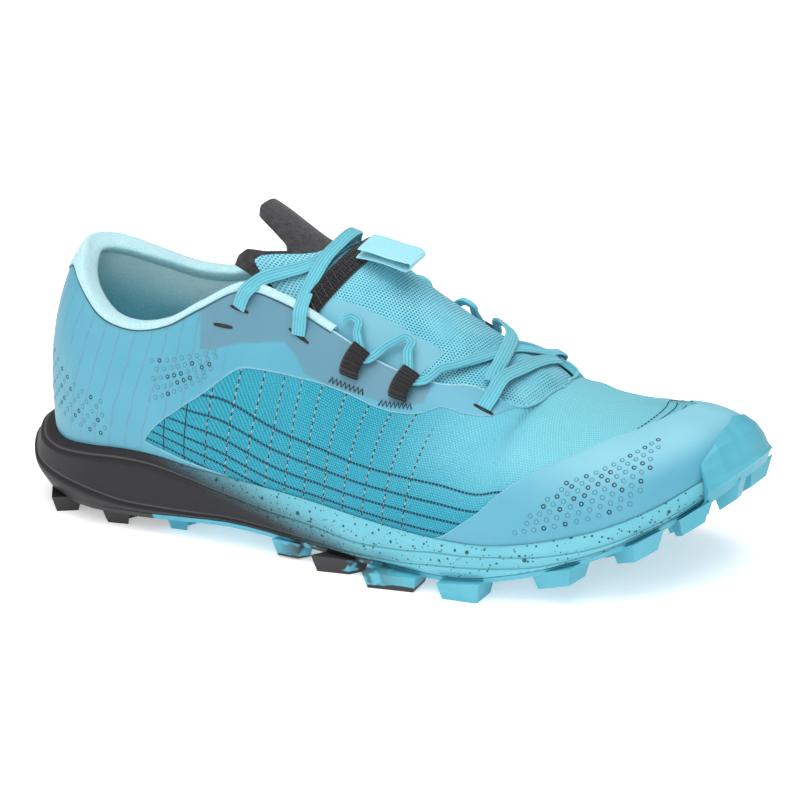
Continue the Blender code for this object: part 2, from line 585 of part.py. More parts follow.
def make_films():
    """Smooth films welded on the upper: one round the toe, one round the heel and up to the eyelets."""
    toe = np.arange(-8.0, 8.1, 0.5)
    patch("toe_film", toe, read(TOE_FILM_START, np.abs(toe)), read(TOE_FILM_EDGE, np.abs(toe)), "film")
    quarter = np.arange(7.0, RING - 6.9, 0.5)
    side = LAST - np.abs(quarter - LAST)
    patch("quarter_film", quarter, read(QUARTER_FILM_LOWER, side), read(QUARTER_FILM_UPPER, side), "film")


def make_binding():
    """The soft roll round the collar: it laps the outer face, goes over the edge and down the lining."""
    places = np.arange(11.5, RING - 11.4, 0.5)
    side = LAST - np.abs(places - LAST)
    lap = read(BINDING_OUTSIDE, side)
    between = np.maximum(ROWS[-2], lap + 0.02)
    inside = read(BINDING_INSIDE, side)
    clear = GAP + 0.1
    climb = unit(upper_point(places, 1.0) - upper_point(places, 0.97))
    thick = wall_thickness(places, 1.0)[:, None]
    outer_rim, normal = upper_point(places, 1.0), upper_normal(places, 1.0)

    def path(lift, crown):
        shoulder = outer_rim + normal * 0.4 * lift + climb * 0.8 * lift
        middle = outer_rim - normal * 0.5 * thick + climb * (lift + crown)
        far_shoulder = outer_rim - normal * (thick + 0.4 * lift) + climb * 0.8 * lift
        low = on_faces(places, inside, lift, inside=True)
        return np.stack([on_faces(places, lap, lift), on_faces(places, between, lift),
                         shoulder, middle, far_shoulder, low], 1)

    shell("collar_binding", path(clear + BINDING, 0.9), path(clear, 0.0), "binding")


def arch_sheet(name, rows, crest, degrees, lift, thickness, finish_name):
    """A sheet cut from an instep arch: grids of crest places and degrees, from lift up by thickness."""
    return shell(name, arch(rows, crest, degrees, lift + thickness), arch(rows, crest, degrees, lift), finish_name)


def make_tongue():
    """A thin sheet under the laces, with a corner each side and a raised tab in the middle of its top."""
    degrees, tops = np.array(TONGUE_TOP, float).T
    rows = np.array([196, 178, 164, 151, 141, 132, 125, 118, 112, 106, 99.5, 92.8])
    crest = np.maximum(rows[None, :], tops[:, None])
    arch_sheet("tongue", TONGUE, crest, degrees[:, None] * read(TONGUE_WIDTH, crest), -1.6, 1.6, "black_textile")
    crest = np.repeat(rows[None, 5:9], len(degrees) - 5, 0)
    arch_sheet("tongue_mesh", TONGUE, crest, degrees[3:-2, None] * read(TONGUE_WIDTH, crest), GAP, 0.8, "open_mesh")


def make_pocket():
    """The open mesh cover over the instep, tucked under the eyestays, and the black tape along its rear edge."""
    sides = np.array([-1, -0.85, -0.68, -0.5, -0.33, -0.16, 0, 0.16, 0.33, 0.5, 0.68, 0.85, 1])
    crest = np.array([210.5, 205, 196, 187, 177, 166, 155, 145, 136.8])[None, :] + 0 * sides[:, None]
    degrees = sides[:, None] * np.where(sides[:, None] < 0, read(POCKET_OUTER, crest), read(POCKET_INNER, crest))
    drop = 0.9 + np.maximum(0.8 * ease(np.abs(sides), 0.8, 1.0)[:, None], 1.2 * ease(crest, 200, 209))
    shell("lace_pocket", arch(INSTEP, crest, degrees, 0.9 - drop), arch(INSTEP, crest, degrees, -drop), "open_mesh")
    crest = np.repeat(np.array([[136.4, 134, 131.6]]), len(sides), 0)
    arch_sheet("pocket_tape", INSTEP, crest, degrees[:, -1:] * 0.92 + 0 * crest, -0.9, 1.5, "black_textile")


def ribbon(name, spots, normals, width, thickness, finish_name):
    """A flat strip along spots: width across, thickness along the normals, with square ends."""
    spots, normals = np.array(spots, float), unit(np.array(normals, float))
    along = unit(np.gradient(spots, axis=0))
    across = unit(np.cross(along, normals))
    normals = unit(np.cross(across, along))
    half = np.broadcast_to(np.asarray(width, float) / 2, (len(spots),))[:, None]
    lower = np.stack([spots - across * half, spots + across * half], 1)
    upper = lower + (normals * np.broadcast_to(thickness, (len(spots),))[:, None])[:, None]
    return shell(name, upper, lower, finish_name)


def place_on(kind, first, second, lift):
    """A point and its normal: on the upper (column, height), over its rim (column, how far in), or on an
    instep arch (crest x, degrees)."""
    if kind == "rim":
        rim, climb = upper_point(first, 1.0), unit(upper_point(first, 1.0) - upper_point(first, 0.97))
        normal = upper_normal(first, 1.0)
        return rim - normal * second + climb * lift, climb + normal * max(-second, 0) / 2
    if kind == "upper":
        return on_upper(np.array(first), np.array(second), np.array(lift)), upper_normal(np.array(first), np.array(second))
    rows = INSTEP if kind == "instep" else TONGUE
    spot = arch(rows, first, second, lift)
    return spot, spot - arch(rows, first, second, lift - 1.0)


def strap(name, places, width, thickness, finish_name, detail=2):
    """A strip that runs smoothly over places given as (kind, first, second, lift)."""
    spots, normals = (np.array(column, float) for column in zip(*(place_on(*place) for place in places)))
    steps = np.linspace(0, len(places) - 1, (len(places) - 1) * detail + 1)
    width = np.interp(steps, np.arange(len(places)), np.broadcast_to(width, len(places)))
    return ribbon(name, smooth(spots, steps), smooth(unit(normals), steps), width, thickness, finish_name)


def make_loops():
    """Four black webbing loops: each stands on the eyestay, bridges the lace and ends over the edge."""
    for name, place in LOOP_PLACES.items():
        strap("lace_loop_" + name, [("upper", place, 0.79, 1.3), ("upper", place, 0.83, 3.0),
                                    ("upper", place, 0.9, 3.7), ("upper", place, 0.965, 3.6),
                                    ("upper", place, 1.0, 3.4)], LOOP_WIDTH, TAPE, "black_textile", detail=1)


def make_pull_tab():
    """Aqua webbing sewn to the tape's middle: it runs forward, folds and comes back over itself."""
    lean, middle = 0.19, -2.6          # the tab leans out a little, and lies on the outer side of the crest
    path = [((134.6, middle, 106.1), (0.1, -lean, 1)), ((141, middle, 105.6), (0.1, -lean, 1)),
            ((148, middle, 104.4), (0.15, -lean, 1)), ((153.4, middle, 103), (0.3, -lean, 1)),
            ((155.4, middle, 104.2), (-1, 0, 0.1)), ((153.4, middle, 105.4), (-0.3, lean, -1)),
            ((148, middle, 106.2), (-0.15, lean, -1)), ((141, middle, 107.7), (-0.1, lean, -1)),
            ((135.4, middle, 108.5), (-0.1, lean, -1))]
    spots, normals = zip(*path)
    ribbon("pull_tab", spots, normals, 13.0, -0.7, "webbing")


def make_laces():
    """Flat lace: two bars over the tongue that cross at its crest, and the lower run through the loops."""
    slot = [13.0, 11.54, 7.6]                    # columns of the outer slots, rear to front
    far_slot = [RING - 12.1, RING - 11.5]       # and of the two rear ones on the inner side
    rear = [("upper", slot[0], 0.875, 1.4), ("upper", slot[0], 0.93, 2.9), ("rim", slot[0], -2.4, 1.6),
            ("rim", slot[0], 0.2, 3.9), ("tongue", 109.4, -54, 4.6), ("tongue", 113.2, -41, 3.2),
            ("tongue", 118.0, -22, 2.1), ("tongue", 120.8, -4, 1.8), ("tongue", 121.6, 14, 2.0),
            ("tongue", 121.4, 34, 2.8), ("tongue", 121.2, 52, 4.6), ("rim", far_slot[1], 0.2, 3.9),
            ("rim", far_slot[1], -2.4, 1.6), ("upper", far_slot[1], 0.93, 3.0), ("upper", far_slot[1], 0.86, 1.4)]
    front = [("upper", slot[1], 0.84, 1.4), ("upper", slot[1], 0.92, 2.9), ("rim", slot[1], -2.4, 1.6),
             ("rim", slot[1], 0.2, 3.9), ("tongue", 119.6, -54, 4.8), ("tongue", 120.0, -35, 3.2),
             ("tongue", 119.8, -12, 2.8), ("tongue", 121.4, -1, 4.6), ("tongue", 122.2, 8, 5.9),
             ("tongue", 121.2, 20, 6.4), ("tongue", 118.8, 34, 6.2), ("rim", far_slot[0], -1.4, 5.0),
             ("rim", far_slot[0], -2.8, 1.6),
             ("upper", far_slot[0], 0.93, 3.0), ("upper", far_slot[0], 0.875, 1.4)]
    top = strap("lace_top", rear, LACE_WIDTH, LACE_THICKNESS, "lace", detail=1)
    other = strap("lace_top_front_bar", front, LACE_WIDTH, LACE_THICKNESS, "lace", detail=1)
    other.hide_render = True
    other.display_type = "WIRE"
    fuse(top, other)

    def run(side, middle):
        """From under the binding's end, through a side's two loops, and on to the other front slot."""
        k = (lambda place: place) if side < 0 else (lambda place: RING - place)
        return [("upper", k(10.95), 0.955, 1.5), ("upper", k(10.7), 0.95, 1.8), ("upper", k(10.42), 0.935, 1.3),
                ("upper", k(10.12), 0.95, 1.6), ("upper", k(9.82), 0.95, 1.8), ("upper", k(9.5), 0.935, 1.3),
                ("upper", k(9.18), 0.95, 1.8)] + middle

    outer_run = run(-1, [("instep", 176.6, -41, 3.2), ("instep", 180.4, -31, 1.5), ("instep", 184.4, -12, 0.5),
                         ("instep", 187.4, 3, 0.5), ("instep", 191.5, 18, 0.6), ("instep", 195.5, 30, 1.6),
                         ("upper", RING - 7.55, 0.97, 1.6), ("upper", RING - 7.6, 0.86, 1.4)])
    inner_run = run(1, [("instep", 174.5, 42, 3.3), ("instep", 178.4, 28, 2.2), ("instep", 184.2, 12, 1.5),
                        ("instep", 188.6, -10, 1.0), ("instep", 191.2, -24, 1.0), ("instep", 193.2, -31.5, 2.6)])
    bar = [("upper", slot[2], 0.85, 1.4), ("upper", slot[2], 0.95, 1.6), ("instep", 195.2, -27.5, 3.2),
           ("instep", 196.0, -12, 1.0), ("instep", 196.8, 4, 0.5), ("instep", 197.8, 17, 0.6), ("instep", 199.5, 26, 1.4)]
    width = [4.6] * 8 + [4.2, 4.6, 5.0, 5.4, 5.4, 5.4, 5.4]
    lower = strap("lace_lower", outer_run, width, LACE_THICKNESS, "lace")
    for name, places in (("lace_inner_run", inner_run), ("lace_front_bar", bar)):
        helper = strap(name, places, LACE_WIDTH * 0.9, LACE_THICKNESS, "lace")
        helper.hide_render = True
        helper.display_type = "WIRE"
        fuse(lower, helper)


def clear_objects():
    """Empties the scene that Blender opens with."""
    for piece in list(bpy.data.objects):
        bpy.data.objects.remove(piece, do_unlink=True)


clear_objects()
make_midsole()
make_insole()
make_upper()
make_outsole()
make_films()
make_binding()
make_tongue()
make_pocket()
make_loops()
make_pull_tab()
make_laces()
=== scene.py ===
"""Looks of a low trail running shoe for the right foot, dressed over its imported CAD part.

Pieces are worked out on the shoe's own last in millimetres: x runs from the heel (0) to the toe, y to the
inner side of the foot, z up from the ground. They become metres over the middle of the footprint when a mesh
is made. Sections follow the order in which such a shoe is put together.
"""

import bpy
import numpy as np
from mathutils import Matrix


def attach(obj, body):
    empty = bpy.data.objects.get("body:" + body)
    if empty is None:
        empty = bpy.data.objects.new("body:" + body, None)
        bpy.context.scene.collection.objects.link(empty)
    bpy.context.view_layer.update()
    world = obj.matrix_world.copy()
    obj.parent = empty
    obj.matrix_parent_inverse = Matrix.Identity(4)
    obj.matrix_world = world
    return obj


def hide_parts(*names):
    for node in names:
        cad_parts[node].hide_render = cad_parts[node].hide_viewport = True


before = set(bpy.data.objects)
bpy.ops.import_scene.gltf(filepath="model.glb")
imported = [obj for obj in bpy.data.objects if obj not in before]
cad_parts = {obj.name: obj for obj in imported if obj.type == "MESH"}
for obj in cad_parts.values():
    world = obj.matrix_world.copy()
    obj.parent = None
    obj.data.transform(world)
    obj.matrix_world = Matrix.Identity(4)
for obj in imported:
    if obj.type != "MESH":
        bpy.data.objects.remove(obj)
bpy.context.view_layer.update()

# Woven upper: one hollow shell of patterned cloth, lasted over the foot's shape, open at throat and collar.
# Cyan yarns are woven to a twill, with dark dashed yarns up and along it. The inside is a fleecy lining over
# foam that thickens round the collar.
MM = 0.001
MIDDLE = np.array([139.35, -4.15, 0.0])     # middle of the footprint, which the frame stands over
HEEL, RING, THROAT = 20, 40, 6              # the heel's section, number of columns, the throat's section
WALL, PADDING, TUCK_IN, EDGE_GAP = 1.8, 4.2, 3.0, 0.3       # cloth, collar foam, part in the foam, clearance
ARCH_Y, INNER_REACH = 5.0, 0.72             # the instep's crest line, and how far inner columns arrive on it
UPPER_DETAIL, FILM_DETAIL, BINDING_DETAIL = 11, 14, 12      # columns of each mesh for one section
HEIGHT = 62.0                               # millimetres that one whole height v of the side counts for
# Sections from the toe's tip to the heel: foot line outside and inside, top outside and inside (a point, or
# the crest's x and degrees round the instep arch), how the column leans out, climbs, arrives and drops.
SECTIONS = [
    ((278, 8, 45.5), (278, 8, 45.5), (252, 8, 60.4), (252, 8, 60.4), 0.4, 8, 17, 0),
    ((276, -3, 44.6), (276.3, 18, 44.6), (250, 8, 60.1), (250, 8, 60.1), 0.6, 8.5, 19, 0),
    ((269.5, -17, 40.8), (271, 28.5, 40.8), (246.5, 8, 59.5), (246.5, 8, 59.5), 1.2, 10, 23, 0),
    ((257.5, -30.5, 33.6), (260, 36, 34), (241, 7.8, 58.4), (241, 7.8, 58.4), 1.8, 13, 28, 0),
    ((242.8, -41, 27.6), (244, 41.8, 28.5), (233.5, 7.4, 57.6), (233.5, 7.4, 57.6), 2.3, 15, 34, 0),
    ((225, -47.8, 23.1), (226, 45.3, 24.6), (222, 6.8, 57.9), (222, 6.8, 57.9), 2.5, 18, 40, 0),
    ((209, -51.2, 20.5), (210, 46, 22.6), (209, 0), (209, 0), 2.5, 20, 43, 0),
    ((198, -52.3, 19.9), (198, 44.8, 22.2), (206, -31), (206, 26), 2.5, 19, 18, 0),
    ((185, -51.6, 20), (184, 41.8, 22.4), (190, -38), (190, 38), 2.5, 20, 16, 0),
    ((172, -50, 20.5), (170, 38, 23.3), (180, -48), (178, 52), 2.2, 21, 15, 0),
    ((153, -47, 21.9), (150, 33, 25), (164, -56), (163, 60), 2.0, 20, 15, 0),
    ((133, -43.5, 23.8), (130, 30.3, 26.4), (145.5, -62), (144, 66), 2.0, 20, 15, 0),
    ((113, -40.5, 25.2), (111, 30.2, 27.4), (115.5, -27.5, 92), (114, 25.5, 91.5), 1.8, 20, 6, 16),
    ((95, -38.6, 26.6), (94, 31.8, 28.2), (98.5, -27.5, 95), (97, 24.5, 94.5), 1.8, 20, 5, 18),
    ((80, -37.8, 28), (79, 33.6, 29.4), (82.1, -29.5, 87), (81, 26, 88), 2.0, 18, 3, 18),
    ((65, -37, 30.2), (64, 34.8, 30.4), (68, -30.5, 79), (66, 26, 84.2), 2.2, 16, 2, 16),
    ((50, -36, 30.8), (49, 34, 30.8), (53, -30, 75.8), (52, 23.5, 85), 2.2, 16, 2, 15),
    ((35, -33.5, 29.6), (34, 31, 29.8), (39, -26.5, 78.4), (39.5, 18, 90), 2.0, 16, 4, 15),
    ((21, -27, 28.2), (20.5, 25, 28.6), (27.5, -19, 87.2), (29.5, 12, 95), 1.6, 17, 8, 15),
    ((10.5, -16.5, 29), (10, 14.5, 29.2), (22, -10.5, 95.3), (23, 6.5, 97.5), 1.5, 18, 12, 15),
    ((4.8, -1, 31.5), (4.8, -1, 31.5), (19.5, -2.2, 98), (19.5, -2.2, 98), 1.5, 18, 13, 15),
]
# Crest of the instep: x, height, half width outside and inside, depth of the arch.
INSTEP = [(224, 53.4, 54, 38, 17), (214, 57.0, 52, 37, 18), (204, 63.4, 50, 36, 20), (195, 68.6, 48, 34, 23),
          (186, 72.8, 46, 32, 27), (174, 79.6, 43, 29, 32), (162, 86.6, 40, 27, 34), (150, 94.8, 37, 25, 35),
          (140, 101.6, 35, 24, 35), (131, 107.4, 33.5, 23, 34), (120, 114.0, 32.5, 22.5, 33)]


def smooth(rows, place):
    """Catmull-Rom curve through evenly numbered rows, read at each place along them."""
    rows = np.asarray(rows, float)
    place = np.asarray(place, float)
    ends = np.vstack([2 * rows[:1] - rows[1:2], rows, 2 * rows[-1:] - rows[-2:-1]])
    first = np.clip(np.floor(place).astype(int), 0, len(rows) - 2)
    part = (place - first)[..., None]
    a, b, c, d = (ends[first + i] for i in range(4))
    return 0.5 * (2 * b + (c - a) * part + (2 * a - 5 * b + 4 * c - d) * part ** 2
                  + (3 * b - a - 3 * c + d) * part ** 3)


def round_ring(rows, place):
    """The same curve, closed: place counts sections from the tip, outer side first, and wraps."""
    return smooth(np.vstack([rows[-3:], rows, rows[:4]]), np.mod(place, RING) + 3)


def unit(vectors):
    """Each vector divided by its length."""
    return vectors / np.maximum(np.linalg.norm(vectors, axis=-1, keepdims=True), 1e-9)


def arch(rows, crest_x, degrees, lift=0.0):
    """A point on an instep arch: an ellipse square to the crest's line, turned by degrees from the crest to
    the inner side (+) or outer side (-), and raised by lift along its own normal."""
    table = np.array(rows, float)[::-1]
    crest_x, degrees, lift = np.broadcast_arrays(np.asarray(crest_x, float), degrees, lift)
    place = np.interp(crest_x, table[:, 0], np.arange(len(table)))
    x, z, outer_width, inner_width, depth = np.moveaxis(smooth(table, place), -1, 0)
    half_width = np.where(degrees > 0, inner_width, outer_width)
    ahead, behind = (smooth(table, np.clip(place + step, 0, len(table) - 1)) for step in (0.2, -0.2))
    slope = np.arctan2(ahead[..., 1] - behind[..., 1], ahead[..., 0] - behind[..., 0])
    down = np.stack([np.sin(slope), np.zeros_like(slope), -np.cos(slope)], -1)
    turn = np.radians(degrees)
    across = np.array([0.0, 1.0, 0.0])
    crest = np.stack([x, np.full_like(x, ARCH_Y), z], -1)
    sine, cosine = np.sin(turn)[..., None], np.cos(turn)[..., None]
    half_width, depth = half_width[..., None], depth[..., None]
    spot = crest + across * half_width * sine + down * depth * (1 - cosine)
    normal = unit(across * depth * sine - down * half_width * cosine)
    return spot + normal * lift[..., None]


def plan_normals(ring):
    """Horizontal normals, pointing out, of a closed ring of points from the tip on, outer side first."""
    along = np.roll(ring, -1, axis=0) - np.roll(ring, 1, axis=0)
    return unit(np.stack([-along[:, 1], along[:, 0], np.zeros(len(ring))], -1))


def control_rings():
    """The four control points of each section's cubic column, as closed rings: foot, low, high and top."""
    outer = [(s[0], s[2], -1, n, s[4:]) for n, s in enumerate(SECTIONS)]
    inner = [(s[1], s[3], 1, n, s[4:]) for n, s in reversed(list(enumerate(SECTIONS))) if 0 < n < HEEL]
    columns = outer + inner
    foot = np.array([c[0] for c in columns], float)
    low, high, top = [], [], []
    for (foot_point, place, side, number, shape), normal in zip(columns, plan_normals(foot)):
        swell, rise, reach, drop = shape
        reach = reach * (INNER_REACH if side > 0 and 1 < number <= THROAT + 1 else 1)
        low.append(np.array(foot_point, float) + normal * swell + np.array([0, 0, rise]))
        if len(place) == 2:
            end = arch(INSTEP, *place, EDGE_GAP + WALL)
            degrees = place[1] or side * 0.01
            beyond = degrees + (0.5 if degrees >= 0 else -0.5)
            fall = unit(arch(INSTEP, place[0], beyond) - arch(INSTEP, place[0], degrees))
            high.append(end + fall * reach)
        else:
            end = np.array(place, float)
            towards = foot_point - end if number < THROAT else normal
            towards = unit(np.array([towards[0], towards[1], 0.0]))
            high.append(end + towards * reach - np.array([0, 0, drop]))
        top.append(end)
    return foot, np.array(low), np.array(high), np.array(top)


FOOT, LOW, HIGH, TOP = control_rings()


def folded(k):
    """Sections between a column and the toe's tip, the same on both sides."""
    return np.abs(np.mod(k + HEEL, RING) - HEEL)


def upper_point(k, v):
    """Outer face of the upper: a cubic curve in v (0 at the midsole, 1 at the top) for each column k round
    the ring. Ahead of the throat both sides end on the same ridge."""
    k, v = np.broadcast_arrays(np.asarray(k, float), np.asarray(v, float))
    foot, low, high, top = (round_ring(ring, k) for ring in (FOOT, LOW, HIGH, TOP))
    shared = (top + round_ring(TOP, -k)) / 2
    top = np.where((folded(k) <= THROAT)[..., None], shared, top)
    v = v[..., None]
    return foot * (1 - v) ** 3 + 3 * low * v * (1 - v) ** 2 + 3 * high * v ** 2 * (1 - v) + top * v ** 3


def upper_normal(k, v):
    """Outward normal of that face: its climb crossed with its run, shared by both sides along the ridge."""
    k, v = np.broadcast_arrays(np.asarray(k, float), np.asarray(v, float))
    step = 0.02

    def one_side(place):
        climb = upper_point(place, np.minimum(v + step, 1)) - upper_point(place, np.maximum(v - step, 0))
        return unit(np.cross(climb, upper_point(place + step, v) - upper_point(place - step, v)))

    normal = one_side(k)
    on_ridge = ((folded(k) <= THROAT) & (v > 0.999))[..., None]
    return np.where(on_ridge, unit(normal + one_side(-k)), normal)


def ease(value, start, end):
    """0 up to start, 1 from end on, and a smooth cubic step between."""
    share = np.clip((value - start) / (end - start), 0, 1)
    return share * share * (3 - 2 * share)


# Creases where the forefoot bends, as plan ends (x, y to x, y), width and depth.
CREASES = [((204, -40), (218, -18), 2.6, 0.55), ((214, -44), (226, -16), 3.4, 0.4),
           ((196, -46), (206, -32), 2.2, 0.5), ((205, 34), (216, 16), 2.8, 0.5),
           ((216, 38), (224, 14), 3.4, 0.4)]


def cloth_waves(k, v, spots):
    """Waves of the lasted cloth: two crossing sines that fade at foot line and rim, less each crease, a
    bell-shaped trough along its line in plan."""
    fade = np.sin(np.pi * np.clip(v, 0, 1)) ** 1.5
    turn = 2 * np.pi * k / RING
    waves = fade * (0.2 * np.sin(12 * turn + 6 * v) + 0.14 * np.sin(20 * turn - 9 * v + 1.3))
    for start, end, width, depth in CREASES:
        line = np.subtract(end, start)
        share = np.clip(((spots[..., :2] - start) @ line) / (line @ line), 0, 1)
        away = np.linalg.norm(spots[..., :2] - start - share[..., None] * line, axis=-1)
        waves = waves - depth * np.exp(-(away / width) ** 2) * fade
    return waves


def on_upper(k, v, lift=0.0):
    """A point lifted along the normal off the upper's outer face, waves and creases included."""
    spots = upper_point(k, v)
    return spots + upper_normal(k, v) * (cloth_waves(k, v, spots) + lift)[..., None]


def wall_thickness(k, v):
    """The woven wall, thickened by the foam round the collar."""
    return WALL + PADDING * ease(folded(k), 12.5, 15) * ease(v, 0.25, 0.75)


def foot_run():
    """Millimetres along the foot line from the heel's back to each column, for places 0 to 40 by quarters."""
    places = np.arange(0, RING + 0.1, 0.25)
    steps = np.linalg.norm(np.diff(round_ring(FOOT, places), axis=0), axis=1)
    run = np.concatenate([[0], np.cumsum(steps)])
    half = len(places) // 2
    return places, np.abs(run - run[half])


RUN_PLACES, RUN = foot_run()


def along(k):
    """Length along the foot line from the heel's back to column k, the same way on both sides."""
    return np.interp(np.mod(k, RING), RUN_PLACES, RUN)


def grid_faces(columns, rows, closed=False, turned=False, first=0):
    """Quads between neighbours of a grid numbered column by column, facing its climb crossed with its run."""
    c = np.arange(columns if closed else columns - 1)[:, None]
    r = np.arange(rows - 1)[None, :]
    n = (c + 1) % columns
    quads = np.stack([c * rows + r, c * rows + r + 1, n * rows + r + 1, n * rows + r], -1).reshape(-1, 4)
    return first + (quads[:, ::-1] if turned else quads)


def wall_faces(columns, rows, closed=False, open_top=None):
    """Faces of a wall: an outer grid, an inner grid numbered after it, and the rims that join them."""
    half = columns * rows
    c = np.arange(columns if closed else columns - 1)
    n = (c + 1) % columns
    low = np.stack([c * rows, n * rows, half + n * rows, half + c * rows], -1)
    top = np.stack([n * rows, c * rows, half + c * rows, half + n * rows], -1) + rows - 1
    faces = [grid_faces(columns, rows, closed), grid_faces(columns, rows, closed, True, half), low,
             top if open_top is None else top[open_top]]
    if not closed:
        r = np.arange(rows - 1)
        end = (columns - 1) * rows
        faces.append(np.stack([r + 1, r, half + r, half + r + 1], -1))
        faces.append(np.stack([end + r, end + r + 1, half + end + r + 1, half + end + r], -1))
    return np.concatenate(faces)


def make_piece(name, points, faces, coats, stands_for=(), marks=None, lined=None, sharp=0.9):
    """A piece with its place in its mesh: last millimetres, less the footprint's middle, times a thousandth.
    marks are numbers kept for each point. Faces between lined's two numbers take the second coat."""
    mesh = bpy.data.meshes.new(name)
    mesh.from_pydata(((points.reshape(-1, 3) - MIDDLE) * MM).tolist(), [], [list(f) for f in faces])
    for mark, values in (marks or {}).items():
        layer = mesh.attributes.new(mark, "FLOAT", "POINT")
        layer.data.foreach_set("value", np.ravel(values).astype(np.float32))
    for coat in coats:
        mesh.materials.append(coat)
    if lined:
        second = np.zeros(len(faces), np.int32)
        second[slice(*lined)] = 1
        mesh.polygons.foreach_set("material_index", second)
    mesh.validate()
    mesh.shade_smooth()
    mesh.set_sharp_from_angle(angle=sharp)
    piece = bpy.data.objects.new(name, mesh)
    bpy.context.scene.collection.objects.link(piece)
    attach(piece, "root")
    if stands_for:
        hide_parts(*stands_for)
    return piece


def make_wall(name, outer, inner, coats, stands_for, marks, turned=False, closed=False, open_top=None,
              lined=None, sharp=0.9):
    """A piece of two faces, each a grid (column, row), joined round their rims. marks hold for both faces.
    turned is for grids that are numbered the other way round."""
    faces = wall_faces(*outer.shape[:2], closed, open_top)
    points = np.concatenate([outer.reshape(-1, 3), inner.reshape(-1, 3)])
    marks = {mark: np.stack([values] * 2) for mark, values in marks.items()}
    faces = faces[:, ::-1] if turned else faces
    return make_piece(name, points, faces, coats, stands_for, marks, lined, sharp)


